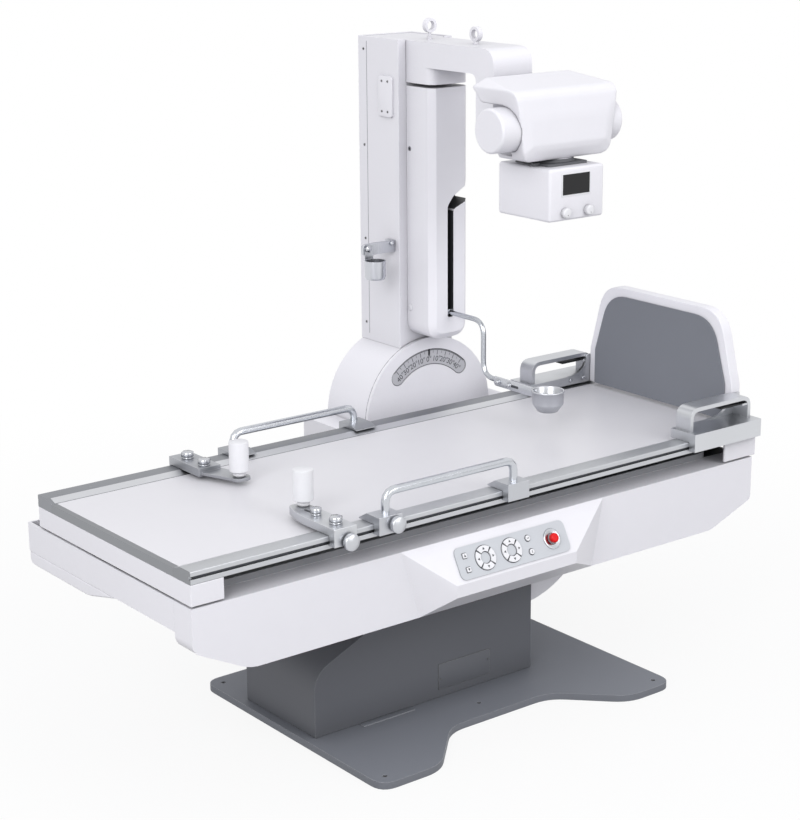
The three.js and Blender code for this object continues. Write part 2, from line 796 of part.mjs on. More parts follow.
// Emergency stop: a mushroom button on a stem
const [stopUnder, stopTop] = STOP_RISE;
const stopProfile = [
  [0, SEAT - 2 * KEY_DEPTH],
  [STOP_STEM_R, SEAT - 2 * KEY_DEPTH],
  [STOP_STEM_R, panelFace + stopUnder],
  [STOP_HEAD_R, panelFace + stopUnder + 1],
  [STOP_HEAD_R, panelFace + stopTop - 3],
  [STOP_HEAD_R - 3, panelFace + stopTop],
  [0, panelFace + stopTop],
].map(([r, h]) => new THREE.Vector2(r, h));
const stop = group(panel, STOP_X, 0, 0);
piece(
  stop,
  "estop_button",
  new THREE.LatheGeometry(stopProfile, 16).rotateX(Math.PI / 2),
  finish(STOP_RED, 0.35),
);

// Tabletop: a panel between two grooved rails, with a trim at the head end and white end covers
const top = group(table);
const railFoot = TABLE_TOP - RAIL_HEIGHT;
const [bevelRun, bevelDrop] = RAIL_BEVEL;
const [grooveDepth, grooveHeight, grooveLift] = GROOVE;
const railInner = halfTable - RAIL_FLAT - bevelRun;
const panelTop = TABLE_TOP - bevelDrop;
const railProfile = (side) =>
  outline([
    [side * halfTable, railFoot, 2],
    [side * halfTable, railFoot + grooveLift],
    [side * (halfTable - grooveDepth), railFoot + grooveLift],
    [side * (halfTable - grooveDepth), railFoot + grooveLift + grooveHeight],
    [side * halfTable, railFoot + grooveLift + grooveHeight],
    [side * halfTable, TABLE_TOP, 4],
    [side * (halfTable - RAIL_FLAT), TABLE_TOP],
    [side * railInner, panelTop],
    [side * railInner, railFoot],
  ]);
piece(top, "front_rail", alongX(railProfile(-1), TABLE_HEAD, tableFoot, 3), aluminium());
piece(top, "rear_rail", alongX(railProfile(1), TABLE_HEAD, tableFoot, 3), aluminium());
const panelHalf = railInner - SEAT;
const trimEnd = TABLE_HEAD + TRIM_WIDTH;
piece(
  top,
  "head_end_trim",
  block(TABLE_HEAD, trimEnd, -panelHalf, panelHalf, railFoot, panelTop),
  aluminium(),
);
piece(
  top,
  "tabletop_panel",
  join(
    block(trimEnd + SEAT, tableFoot, -panelHalf, panelHalf, underTop, panelTop),
    ...beamXs.map((x) =>
      block(
        x - BEAM_WIDTH / 2,
        x + BEAM_WIDTH / 2,
        -panelHalf,
        panelHalf,
        underTop - BEAM_DROP,
        underTop + 1,
      ),
    ),
  ),
  finish(TOP_GREY, 0.5),
);

// End covers: channels under the rails that wrap the corners
const endTop = railFoot - SEAT;
const coverEnds = {
  head_end_cover: [TABLE_HEAD, TABLE_HEAD + COVER_RETURN[0]],
  foot_end_cover: [tableFoot, tableFoot - COVER_RETURN[1]],
};
for (const [name, [outer, inner]] of Object.entries(coverEnds)) {
  const inside = outer + Math.sign(inner - outer) * END_COVER_WALL;
  const wallY = halfTable - END_COVER_WALL;
  const channel = outline([
    [outer, -halfTable],
    [inner, -halfTable],
    [inner, -wallY],
    [inside, -wallY],
    [inside, wallY],
    [inner, wallY],
    [inner, halfTable],
    [outer, halfTable],
  ]);
  piece(top, name, alongZ(channel, endTop - END_COVER_HEIGHT, endTop), white());
}

// Column carriage: a box behind the body that rides on its guide and carries the detector's link
const column = group(table, tableFoot - COLUMN_INSET, 0, PIVOT_Z);
const carriageFront = bodyBack + CARRIAGE_SPACE;
const discFront = carriageFront + DISC_SETBACK;
const [boxLength, boxDepth, boxHeight] = CARRIAGE_BOX;
const boxBack = carriageFront + boxDepth;
const halfBox = boxLength / 2;
const discBack = discFront + DISC_THICK;
const drumFront = discBack + RUN;
const drumBack = boxBack - CARRIAGE_WALL - 2;
const jawBack = carriageFront + 1;
const jawFront = bodyBack + RUN;
const guideGap = 2 * RUN;
const guideMiddle = guideFoot + guideHeight / 2 - PIVOT_Z;
const linkFoot = bodyTop + LINK[2] - PIVOT_Z;
const drumRoom = DISC_R + CARRIAGE_WALL;
piece(
  column,
  "column_carriage",
  join(
    cut(
      block(-halfBox, halfBox, carriageFront, boxBack, -boxHeight, 0),
      block(
        -halfBox + CARRIAGE_WALL,
        halfBox - CARRIAGE_WALL,
        carriageFront + CARRIAGE_WALL,
        boxBack - CARRIAGE_WALL,
        -boxHeight + CARRIAGE_WALL,
        -CARRIAGE_WALL,
      ),
      block(-drumRoom, drumRoom, discFront - SEAT, boxBack - CARRIAGE_WALL, -boxHeight / 2, boxHeight),
    ),
    cut(
      block(
        -JAW_LENGTH / 2,
        JAW_LENGTH / 2,
        jawFront,
        jawBack,
        guideMiddle - JAW_HEIGHT / 2,
        guideMiddle + JAW_HEIGHT / 2,
      ),
      block(
        -JAW_LENGTH,
        JAW_LENGTH,
        jawFront - guideDepth,
        bodyBack + guideDepth + RUN,
        guideMiddle - guideHeight / 2 - guideGap,
        guideMiddle + guideHeight / 2 + guideGap,
      ),
    ),
    block(-LINK[0] / 2, LINK[0] / 2, -DETECTOR[1] / 2, jawBack, linkFoot, linkFoot + LINK[1]),
  ),
  white(),
);

// Image detector on the link, under the tabletop
piece(
  column,
  "image_detector",
  alongZ(
    rectangle(DETECTOR[0], DETECTOR[1], 10),
    linkFoot + LINK[1] + SEAT,
    linkFoot + LINK[1] + SEAT + DETECTOR[2],
    3,
  ),
  finish(LEVER_BLACK, 0.5),
);

// Disc plate with the sunk tilt scale and the axle that carries the column
const scaleHalf = THREE.MathUtils.degToRad(SCALE_ANGLE);
const scaleMiddleR = (SCALE_R[0] + SCALE_R[1]) / 2;
const scaleHalfWidth = (SCALE_R[1] - SCALE_R[0]) / 2;
const scaleBand = ringSegment(
  SCALE_R[0],
  SCALE_R[1],
  Math.PI / 2 - scaleHalf,
  Math.PI / 2 + scaleHalf,
);
const scaleEnds = [-1, 1].map((side) =>
  disc(
    scaleHalfWidth,
    side * scaleMiddleR * Math.sin(scaleHalf),
    scaleMiddleR * Math.cos(scaleHalf),
  ),
);
const scaleCut = (shape) => alongY(shape, discFront - 1, discFront + SCALE_SINK, 10);
piece(
  column,
  "disc_plate",
  join(
    cut(
      alongY(disc(DISC_R), discFront, discBack, 24),
      block(-2 * DISC_R, 2 * DISC_R, discFront - 1, discBack + 1, -2 * DISC_R, -DISC_FOOT),
      scaleCut(scaleBand),
      ...scaleEnds.map(scaleCut),
    ),
    alongY(disc(AXLE_R), discBack - 1, drumBack - DRUM_WALL - RUN, 24),
  ),
  white(),
);

// Column drum: a round shell that turns on the axle
piece(
  column,
  "column_drum",
  join(
    cut(
      alongY(disc(DISC_R), drumFront, drumBack, 24),
      alongY(disc(DISC_R - DRUM_WALL), drumFront - 1, drumBack - DRUM_WALL, 24),
    ),
    cut(
      alongY(disc(AXLE_R + HUB_WALL), drumFront + DISC_THICK, drumBack - 1, 24),
      alongY(disc(AXLE_R + RUN), drumFront, drumBack - DRUM_WALL, 24),
    ),
  ),
  white(),
);

// Column mast: a tube that stands on the drum, slotted at the top for the tube arm
const mastFront = drumFront + 2.5;
const mastBack = mastFront + MAST_DEPTH;
const mastHalf = MAST_WIDTH / 2;
const mastTop = MAST_TOP - PIVOT_Z;
const armTop = ARM_TOP - PIVOT_Z;
const blockFoot = armTop - ARM_BLOCK_HEIGHT;
const armHalf = ARM_WIDTH / 2;
piece(
  column,
  "column_mast",
  cut(
    block(-mastHalf, mastHalf, mastFront, mastBack, 0, mastTop),
    block(
      -mastHalf + MAST_WALL,
      mastHalf - MAST_WALL,
      mastFront + MAST_WALL,
      mastBack - MAST_WALL,
      -1,
      mastTop + 1,
    ),
    block(-armHalf - 1, armHalf + 1, mastFront - 1, mastFront + MAST_WALL + 1, blockFoot - RUN, mastTop + 1),
    alongY(disc(DISC_R + SEAT), mastFront - 1, mastBack + 1, 24),
  ),
  white(),
);

// Compressor housing on the front of the mast, with the slot that guides the compressor
const housingFoot = HOUSING_BOTTOM - PIVOT_Z;
const housingTop = Math.min(HOUSING_TOP - PIVOT_Z, blockFoot - 2);
const housingHalf = HOUSING_WIDTH / 2;
const housingBack = mastFront - SEAT;
const housingFront = housingBack - HOUSING_DEPTH;
const housingOutline = (inset) =>
  outline([
    [inset - housingHalf, housingFoot + inset, HOUSING_ROUND - inset],
    [housingHalf - inset, housingFoot + inset, HOUSING_ROUND - inset],
    [housingHalf - inset, housingTop],
    [inset - housingHalf, housingTop],
  ]).getPoints(5);
const housingRow = (inset, y) => housingOutline(inset).map(({ x, y: z }) => new THREE.Vector3(x, y, z));
const notchSide = housingHalf + 1;
const slotFoot = SLOT_BOTTOM - PIVOT_Z;
const slotTop = SLOT_TOP - PIVOT_Z;
piece(
  column,
  "compressor_housing",
  cut(
    new ConvexGeometry([
      ...housingRow(HOUSING_CHAMFER, housingFront),
      ...housingRow(0, housingFront + HOUSING_CHAMFER),
      ...housingRow(0, housingBack),
    ]),
    alongY(
      outline([
        [-SLOT_WIDTH / 2, slotFoot, SLOT_WIDTH / 3],
        [SLOT_WIDTH / 2, slotFoot, SLOT_WIDTH / 3],
        [SLOT_WIDTH / 2, slotTop - NOTCH_FROM[0], SLOT_WIDTH / 3],
        [notchSide, slotTop + NOTCH_TO[0]],
        [notchSide, slotTop + NOTCH_TO[1]],
        [SLOT_WIDTH / 2, slotTop + NOTCH_FROM[1], SLOT_WIDTH / 3],
        [-SLOT_WIDTH / 2, slotTop, SLOT_WIDTH / 3],
      ]),
      housingFront - 1,
      housingFront + SLOT_DEPTH,
      3,
    ),
  ),
  white(),
);

// Cup holder: a flat bar on the side of the mast with a cup that swings on its end
const barY = mastFront + CUP_BAR_Y;
const [barReach, barThick, barHeight] = CUP_BAR;
const barZ = CUP_BAR_Z - PIVOT_Z;
const barEnd = -mastHalf - SEAT - barReach;
piece(
  column,
  "cup_bar",
  join(
    alongY(
      outline([
        [barEnd, barZ - barHeight / 2, barHeight / 3],
        [-mastHalf - SEAT, barZ - barHeight / 2],
        [-mastHalf - SEAT, barZ + barHeight / 2],
        [barEnd, barZ + barHeight / 2, barHeight / 3],
      ]),
      barY,
      barY + barThick,
      3,
    ),
    block(
      -mastHalf - SEAT - barThick,
      -mastHalf - SEAT,
      barY,
      barY + 3 * barThick,
      barZ - barHeight / 2,
      barZ + barHeight / 2,
    ),
  ),
  aluminium(),
);
const holderX = -mastHalf - HOLDER_OUT;
const holderTop = barZ - barHeight / 2 - 10;
const holderFoot = holderTop - HOLDER_HEIGHT;
const holderY = barY - SEAT;
const cupProfile = (radius, footR, taper, height, wall) =>
  [
    [0, 0],
    [footR, 0],
    [radius, taper],
    [radius, height],
    [radius - wall, height],
    [radius - wall, taper],
    [footR - wall / 2, wall],
    [0, wall],
  ].map(([r, h]) => new THREE.Vector2(r, h));
piece(
  column,
  "hanging_cup",
  join(
    new THREE.LatheGeometry(cupProfile(HOLDER_R, HOLDER_R - 4, 8, HOLDER_HEIGHT, HOLDER_WALL), 20)
      .rotateX(Math.PI / 2)
      .translate(holderX, holderY - HOLDER_R, holderFoot),
    alongY(
      outline([
        [holderX - HOLDER_R / 2, holderTop - HOLDER_HEIGHT / 3],
        [holderX + HOLDER_R / 2, holderTop - HOLDER_HEIGHT / 3],
        [barEnd + barHeight, barZ + barHeight / 4, 4],
        [barEnd + 4, barZ + barHeight / 4, 4],
      ]),
      holderY - HOLDER_WALL,
      holderY,
      3,
    ),
  ),
  aluminium(),
);

// Lift column: the inner tube that raises the tube arm out of the mast
const lift = group(column);
const liftHalf = mastHalf - MAST_WALL - RUN;
const liftFront = mastFront + MAST_WALL + RUN;
const liftBack = mastBack - MAST_WALL - RUN;
piece(
  lift,
  "lift_column",
  cut(
    block(-liftHalf, liftHalf, liftFront, liftBack, armTop - LIFT_LENGTH, armTop),
    block(
      -liftHalf + LIFT_WALL,
      liftHalf - LIFT_WALL,
      liftFront + LIFT_WALL,
      liftBack - LIFT_WALL,
      armTop - LIFT_LENGTH - 1,
      armTop - LIFT_WALL,
    ),
  ),
  white(),
);

// Tube arm: reaches over the table and turns down behind the tube head
const armUnder = armTop - ARM_THICK;
const dropBack = ARM_FRONT + DROP_DEPTH;
const dropFoot = DROP_BOTTOM - PIVOT_Z;
const armBack = liftFront - SEAT;
const armOutline = outline([
  [armBack, armTop],
  [ARM_FRONT, armTop, ARM_ROUND],
  [ARM_FRONT, dropFoot],
  [dropBack, dropFoot],
  [dropBack, armUnder, DROP_FILLET],
  [armBack, armUnder],
]);
const armBlock = outline([
  [-armHalf, armBack],
  [-armHalf, housingFront, BLOCK_ROUND],
  [armHalf, housingFront, BLOCK_ROUND],
  [armHalf, armBack],
]);

// Eye bolts on the arm, for hoisting it
const [eyeInner, eyeOuter] = EYE_R;
const [collarR, collarHeight] = EYE_COLLAR;
const eyeRing = (u, v) => {
  const ring = disc(eyeOuter, u, v);
  ring.holes = [disc(eyeInner, u, v)];
  return ring;
};
const eyeBolts = EYES.flatMap(({ y, rise, across }) => [
  alongZ(disc(collarR, 0, y), armTop - 1, armTop + collarHeight, 8),
  alongZ(disc(EYE_SHANK_R, 0, y), armTop, armTop + rise - eyeInner - 1, 6),
  across
    ? alongY(eyeRing(0, armTop + rise), y - EYE_WIDTH / 2, y + EYE_WIDTH / 2, 12)
    : alongX(eyeRing(y, armTop + rise), -EYE_WIDTH / 2, EYE_WIDTH / 2, 12),
]);
piece(
  lift,
  "tube_arm",
  join(
    alongX(armOutline, -armHalf, armHalf, 6),
    alongZ(armBlock, blockFoot, armUnder + 1, 6),
    ...eyeBolts,
  ),
  white(),
);

// Tube head: the tube housing with its round ends, on a trunnion from the arm
const head = group(lift, 0, 0, TUBE_Z - PIVOT_Z);
const halfTube = TUBE_LENGTH / 2;
const tubeProfile = [
  [0, -halfTube],
  [TUBE_R - TUBE_EDGE, -halfTube],
  [TUBE_R, TUBE_EDGE - halfTube],
  [TUBE_R, halfTube - TUBE_EDGE],
  [TUBE_R - TUBE_EDGE, halfTube],
  [0, halfTube],
].map(([r, h]) => new THREE.Vector2(r, h));
piece(
  head,
  "tube_housing",
  join(
    new THREE.LatheGeometry(tubeProfile, 32).rotateZ(Math.PI / 2).translate(TUBE_SHIFT, 0, 0),
    alongY(disc(TRUNNION_R), 0, ARM_FRONT - RUN, 8),
  ),
  white(),
);

// Hood: a moulded cover over the front and the top of the tube
const [tailRun, tailTop] = HOOD_TAIL;
const [floorReach, floorThick] = HOOD_FLOOR;
const [rimDrop, rimSetback] = HOOD_RIM;
const [chinDepth, chinHeight, chinSetback] = HOOD_CHIN;
const [lipSetback, lipCut] = HOOD_LIP;
const rimTop = HOOD_TOP - rimDrop;
const rimFront = rimSetback - HOOD_FRONT;
const hoodPanel = outline([
  [HOOD_BACK - tailTop, HOOD_TOP, 14],
  [-HOOD_FRONT / 2, HOOD_TOP - HOOD_BROW, HOOD_BROW],
  [HOOD_SHOULDER[0] - HOOD_FRONT, HOOD_SHOULDER[1], 30],
  [-HOOD_FRONT, -chinDepth],
]).getPoints(4);
const hoodRim = outline([
  [HOOD_BACK, rimTop, 8],
  [rimFront, rimTop, 42],
  [rimFront, lipCut - HOOD_BOTTOM],
]).getPoints(5);
const hoodPair = ([half, growth], y, z) =>
  [-1, 1].map((side) => new THREE.Vector3(HOOD_SHIFT + side * (half + growth * z), y, z));
const hoodCut = (amount) => [HOOD_HALF[0] - amount, HOOD_HALF[1]];
const hoodPoints = [
  ...hoodPanel.flatMap(({ x, y }) => hoodPair(HOOD_PANEL, x, y)),
  ...hoodPair([HOOD_PANEL[0] - chinHeight, HOOD_PANEL[1]], chinSetback - HOOD_FRONT, -chinDepth - chinHeight),
  ...hoodRim.flatMap(({ x, y }) => hoodPair(HOOD_HALF, x, y)),
  ...hoodPair(hoodCut(0.3 * lipCut), (rimSetback + lipSetback) / 2 - HOOD_FRONT, 0.3 * lipCut - HOOD_BOTTOM),
  ...hoodPair(hoodCut(lipCut), lipSetback - HOOD_FRONT, -HOOD_BOTTOM),
  ...hoodPair(hoodCut(lipCut), floorReach, -HOOD_BOTTOM),
];
const hoodReach = 2 * HOOD_HALF[0];
piece(
  head,
  "tube_hood",
  cut(
    new ConvexGeometry(hoodPoints),
    alongX(disc(TUBE_R + HOOD_GAP), -hoodReach, hoodReach, 16),
    alongX(
      outline([
        [0, floorThick - HOOD_BOTTOM],
        [2 * HOOD_BACK, floorThick - HOOD_BOTTOM],
        [2 * HOOD_BACK, rimTop],
        [HOOD_BACK, rimTop],
        [HOOD_BACK - tailRun, HOOD_SHELF],
        [0, HOOD_SHELF],
      ]),
      -hoodReach,
      hoodReach,
    ),
  ),
  white(),
);

// Collimator under the hood, on a round neck, with two knobs on its front
const neckTop = -HOOD_BOTTOM - RUN;
const boxTop = neckTop - NECK_HEIGHT;
const [boxX, boxY, boxZ] = COLLIMATOR;
piece(
  head,
  "collimator",
  join(
    alongZ(rectangle(boxX, boxY, COLLIMATOR_CORNER), boxTop - boxZ, boxTop, 4),
    alongZ(disc(NECK_R), boxTop - 1, neckTop, 10),
  ),
  white(),
);
for (const [name, x] of Object.entries(KNOBS_X)) {
  const front = -boxY / 2 - SEAT;
  const knob = group(head, x, front, boxTop - boxZ + KNOB_RISE);
  piece(knob, name, alongY(disc(KNOB_R), -KNOB_LENGTH, 0, 10), finish(WHITE_PAINT, 0.4));
}

// Compressor: a bent bar from the housing's slot, with a lug for the blade of the cup
const compressor = group(column);
const tubeTop = COMPRESSOR_Z - PIVOT_Z;
const tubeLow = COMPRESSOR_LOW_Z - PIVOT_Z;
const sliderHalf = SLOT_WIDTH / 2 - RUN;
const [lugThick, lugLength, lugHeight] = LUG;
const route = [
  new THREE.Vector3(0, housingFront + SLOT_DEPTH / 2, tubeTop),
  new THREE.Vector3(0, COMPRESSOR_DROP_Y, tubeTop),
  new THREE.Vector3(0, COMPRESSOR_DROP_Y, tubeLow),
  new THREE.Vector3(0, BLADE_BACK, tubeLow),
];
piece(
  compressor,
  "compressor_arm",
  join(
    bentBar(route, COMPRESSOR_BEND, COMPRESSOR_TUBE_R - RUN, 12, 36),
    block(
      -sliderHalf,
      sliderHalf,
      housingFront + 4,
      housingFront + SLOT_DEPTH - RUN,
      slotFoot + SLOT_WIDTH / 3 + RUN,
      tubeTop + COMPRESSOR_TUBE_R + 1,
    ),
    block(
      RUN - COMPRESSOR_TUBE_R,
      RUN - COMPRESSOR_TUBE_R + lugThick,
      BLADE_BACK - lugLength,
      BLADE_BACK + COMPRESSOR_TUBE_R,
      tubeLow - lugHeight / 2,
      tubeLow + lugHeight / 2,
    ),
  ),
  aluminium(),
);

// Compressor cup with its slotted blade, which slides along the lug
const [bladeThick, bladeHeight] = BLADE;
const cupFoot = CUP_TOP - CUP_HEIGHT - PIVOT_Z;
const bladeX = -COMPRESSOR_TUBE_R - bladeThick;
piece(
  compressor,
  "compressor_cup",
  join(
    new THREE.LatheGeometry(cupProfile(CUP_R, CUP_FOOT_R, CUP_TAPER, CUP_HEIGHT, CUP_WALL), 24)
      .rotateX(Math.PI / 2)
      .translate(0, 0, cupFoot),
    cut(
      block(
        bladeX,
        bladeX + bladeThick,
        CUP_R / 2,
        BLADE_BACK,
        tubeLow - bladeHeight / 2,
        tubeLow + bladeHeight / 2,
      ),
      alongZ(disc(CUP_R - CUP_WALL / 2), cupFoot, cupFoot + 2 * CUP_HEIGHT, 12),
    ),
  ),
  aluminium(),
);

// A clamp over a rail: a plate on its top and a lip in front of it, in the rail's own section
const clampProfile = (side, { rise, drop, reach, flat, lip }) =>
  outline([
    [side * (halfTable + lip), TABLE_TOP - drop],
    [side * (halfTable + SEAT), TABLE_TOP - drop],
    [side * (halfTable + SEAT), TABLE_TOP + SEAT],
    [side * (halfTable - reach), TABLE_TOP + SEAT],
    [side * (halfTable - reach), TABLE_TOP + CLAMP_EDGE],
    [side * (halfTable - flat), TABLE_TOP + rise],
    [side * (halfTable + lip), TABLE_TOP + rise],
  ]);

// Side handles: a bent tube between two clamps
for (const [name, { side, from, to, rise, crest }] of Object.entries(HANDLES)) {
  const y = side * halfTable;
  const foot = TABLE_TOP + rise / 2;
  const section = { rise, drop: CLAMP_DROP, reach: CLAMP_REACH, flat: CLAMP_FLAT, lip: LIP_THICK };
  const bar = [
    new THREE.Vector3(from, y, foot),
    new THREE.Vector3(from, y, TABLE_TOP + crest),
    new THREE.Vector3(to, y, TABLE_TOP + crest),
    new THREE.Vector3(to, y, foot),
  ];
  piece(
    top,
    name,
    join(
      bentBar(bar, HANDLE_BEND, HANDLE_TUBE_R, 12, 40),
      ...[from, to].map((x) =>
        alongX(clampProfile(side, section), x - CLAMP_LENGTH / 2, x + CLAMP_LENGTH / 2),
      ),
    ),
    aluminium(),
  );
}

// Shoulder rests: a clamp with a plate towards the middle of the table, and a post on the plate
for (const [name, { side, x, rise, reach, lip, seat, post }] of Object.entries(RESTS)) {
  const [postX, postY] = post;
  const restTop = TABLE_TOP + seat;
  const [left, right] = [x - REST_WIDTH / 2, x + REST_WIDTH / 2];
  const restEnd = side * (halfTable - reach);
  const section = { rise, drop: CLAMP_DROP, reach, flat: reach, lip };
  const bar = alongX(clampProfile(side, section), left, right);
  const plateEnd = postY - side * POST_R;
  const plate = outline([
    [left, restEnd + side * POST_R],
    [right, restEnd + side * POST_R],
    [postX + POST_R, postY],
    [postX + POST_R, plateEnd, POST_R * 0.8],
    [postX - POST_R, plateEnd, POST_R * 0.8],
    [postX - POST_R, postY],
  ]);
  const roundBar = outline([
    [left, side * (halfTable + lip + 1)],
    [right, side * (halfTable + lip + 1)],
    [right, restEnd, REST_ROUND],
    [left + REST_TAPER[0], restEnd, REST_ROUND / 3],
    [left, restEnd + side * REST_TAPER[1], REST_ROUND],
  ]);
  const barReaches = side * (postY - restEnd) > 0;
  piece(
    top,
    `shoulder_rest_${name}`,
    barReaches
      ? common(bar, alongZ(roundBar, TABLE_TOP - 2 * CLAMP_DROP, TABLE_TOP + 2 * rise, 6))
      : join(bar, alongZ(plate, restTop - REST_PLATE, restTop, 4)),
    aluminium(),
  );
  const seatTop = restTop + SEAT + POST_SEAT_HEIGHT;
  piece(
    top,
    `shoulder_post_${name}`,
    join(
      alongZ(disc(POST_SEAT_R, postX, postY), restTop + SEAT, seatTop + 1, 6),
      alongZ(disc(POST_R, postX, postY), seatTop, seatTop + POST_HEIGHT, 10),
    ),
    finish(WHITE_PAINT, 0.5),
  );
}

// Footrest: a board with a grey face, held by a bracket with a loop handle on each rail
const footrest = group(top, tableFoot - BOARD_FOOT_INSET, 0, TABLE_TOP);
const boardHalf = halfTable - BOARD_SIDE_INSET;
const boardTopHalf = boardHalf - BOARD_LEAN;
const boardFoot = SEAT;
function boardOutline(inset, foot) {
  return outline([
    [inset - boardHalf, foot],
    [inset - boardHalf, BOARD_SHOULDER],
    [inset - boardTopHalf, BOARD_HEIGHT - inset, BOARD_ROUND],
    [boardTopHalf - inset, BOARD_HEIGHT - inset, BOARD_ROUND],
    [boardHalf - inset, BOARD_SHOULDER],
    [boardHalf - inset, foot],
  ]);
}
piece(footrest, "footrest_board", alongX(boardOutline(0, boardFoot), 0, BOARD_THICK, 8), white());
piece(
  footrest,
  "footrest_pad",
  alongX(boardOutline(PAD_BORDER, boardFoot), -SEAT - PAD_THICK, -SEAT, 8),
  finish(PAD_GREY, 0.7),
);
const bracketEnd = BOARD_FOOT_INSET - 6;
const bracketStart = bracketEnd - BRACKET_LENGTH;
const loopStart = bracketStart + LOOP_INSET;
const loopEnd = loopStart + LOOP_LENGTH;
const loopTop = BRACKET_RISE + LOOP_RISE;
const loopOutline = (inset, foot) =>
  outline([
    [loopStart + inset, foot],
    [loopEnd - inset, foot],
    [loopEnd - inset, loopTop - inset, LOOP_ROUND - inset],
    [loopStart + inset, loopTop - inset, LOOP_ROUND - inset],
  ]);
const gussetTop = loopTop - LOOP_BAND / 2;
const gusset = outline([
  [bracketEnd - GUSSET_LENGTH, BRACKET_RISE - 1],
  [bracketEnd, BRACKET_RISE - 1],
  [bracketEnd, gussetTop],
  [bracketEnd - GUSSET_LENGTH / 4, gussetTop],
  [bracketEnd - GUSSET_LENGTH / 3, BRACKET_RISE + GUSSET_THICK, GUSSET_LENGTH / 3],
]);
const bracketReach = halfTable - boardHalf - SEAT;
for (const [name, side] of Object.entries({ front: -1, rear: 1 })) {
  const innerY = side * (boardHalf + SEAT + GUSSET_THICK);
  const outerY = innerY + side * LOOP_WIDTH;
  const [lowY, highY] = [Math.min(outerY, innerY), Math.max(outerY, innerY)];
  const gussetY = innerY - (side * GUSSET_THICK) / 2;
  const gussetHalf = (GUSSET_THICK + 2 * SEAT) / 2;
  const [leverLength, leverWidth, leverThick] = LEVER;
  const leverTop = loopTop - LOOP_BAND - LEVER_GAP;
  const leverEnd = loopEnd - LOOP_ROUND;
  const leverMiddle = (lowY + highY) / 2;
  piece(
    footrest,
    `footrest_bracket_${name}`,
    join(
      alongX(
        clampProfile(side, {
          rise: BRACKET_RISE,
          drop: BRACKET_DROP,
          reach: bracketReach,
          flat: bracketReach,
          lip: LIP_THICK,
        }),
        bracketStart,
        bracketEnd,
      ).translate(0, 0, -TABLE_TOP),
      cut(
        alongY(loopOutline(0, BRACKET_RISE - 1), lowY, highY, 5),
        alongY(loopOutline(LOOP_BAND, BRACKET_RISE - 2), lowY - 1, highY + 1, 5),
      ),
      alongY(gusset, gussetY - gussetHalf + side * SEAT, gussetY + gussetHalf + side * SEAT, 5),
      block(
        leverEnd + SEAT,
        loopEnd - 1,
        lowY + 1,
        highY - 1,
        leverTop - leverThick,
        leverTop,
      ),
    ),
    aluminium(),
  );
  piece(
    footrest,
    `footrest_lever_${name}`,
    block(
      leverEnd - leverLength,
      leverEnd,
      leverMiddle - leverWidth / 2,
      leverMiddle + leverWidth / 2,
      leverTop - leverThick,
      leverTop,
    ),
    finish(LEVER_BLACK, 0.5),
  );
}

export default table;
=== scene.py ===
import math

import bmesh
import bpy
from mathutils import Euler, Matrix, Vector


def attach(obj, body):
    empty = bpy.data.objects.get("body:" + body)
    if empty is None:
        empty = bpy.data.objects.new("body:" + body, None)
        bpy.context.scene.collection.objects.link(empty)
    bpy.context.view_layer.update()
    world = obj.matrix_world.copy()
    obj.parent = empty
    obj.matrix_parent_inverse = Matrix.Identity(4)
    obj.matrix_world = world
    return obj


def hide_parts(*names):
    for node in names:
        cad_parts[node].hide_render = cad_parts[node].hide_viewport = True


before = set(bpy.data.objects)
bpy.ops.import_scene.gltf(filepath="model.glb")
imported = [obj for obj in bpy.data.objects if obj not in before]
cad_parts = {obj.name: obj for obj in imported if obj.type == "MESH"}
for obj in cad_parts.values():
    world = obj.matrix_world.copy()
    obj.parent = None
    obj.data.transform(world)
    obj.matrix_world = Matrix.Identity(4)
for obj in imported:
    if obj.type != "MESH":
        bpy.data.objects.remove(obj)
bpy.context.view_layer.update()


# Studio: a white room with a pale floor, soft daylight and two large softboxes, and a grey curtain
# round it for metal to mirror. The camera stands beyond the head end on the operator's side,
# a little over the arm's height.
class Socket:
    """One output of a shader node. Sums, differences and products add Math nodes."""

    def __init__(self, tree, output=None):
        self.tree = tree
        self.output = output

    def add(self, kind, settings=None, sockets=None, output=0):
        """One output of a new node. Its settings are made first, then its sockets."""
        node = self.tree.nodes.new("ShaderNode" + kind)
        for name, value in (settings or {}).items():
            setattr(node, name, value)
        for name, value in (sockets or {}).items():
            if isinstance(value, Socket):
                self.tree.links.new(value.output, node.inputs[name])
            else:
                node.inputs[name].default_value = value
        return Socket(self.tree, node.outputs[output] if node.outputs else None)

    def __getitem__(self, name):
        return Socket(self.tree, self.output.node.outputs[name])

    def maths(self, operation, first, second):
        return self.add("Math", {"operation": operation}, {0: first, 1: second})

    def __add__(self, other):
        return self.maths("ADD", self, other)

    def __sub__(self, other):
        return self.maths("SUBTRACT", self, other)

    def __rsub__(self, other):
        return self.maths("SUBTRACT", other, self)

    def __mul__(self, other):
        return self.maths("MULTIPLY", self, other)

    __radd__ = __add__
    __rmul__ = __mul__

    def dot(self, direction):
        """How far this vector reaches along a direction."""
        vectors = {0: self, 1: direction}
        return self.add("VectorMath", {"operation": "DOT_PRODUCT"}, vectors, "Value")

    def ramp(self, low, high):
        """0 where this value is under low, 1 where it is over high, and a soft step between."""
        limits = {"Value": self, "From Min": low, "From Max": high}
        return self.add("MapRange", {"interpolation_type": "SMOOTHSTEP"}, limits)

    def tint(self, low, high):
        """From colour low, where this value is 0, to colour high, where it is 1."""
        return self.add("Mix", {"data_type": "RGBA"}, {0: self, 6: low, 7: high}, 2)


def rgb(red, green, blue):
    """A colour as it looks on a screen, in steps of 255."""
    linear = []
    for part in (red, green, blue):
        value = part / 255
        linear.append(value / 12.92 if value < 0.04045 else ((value + 0.055) / 1.055) ** 2.4)
    return (*linear, 1.0)


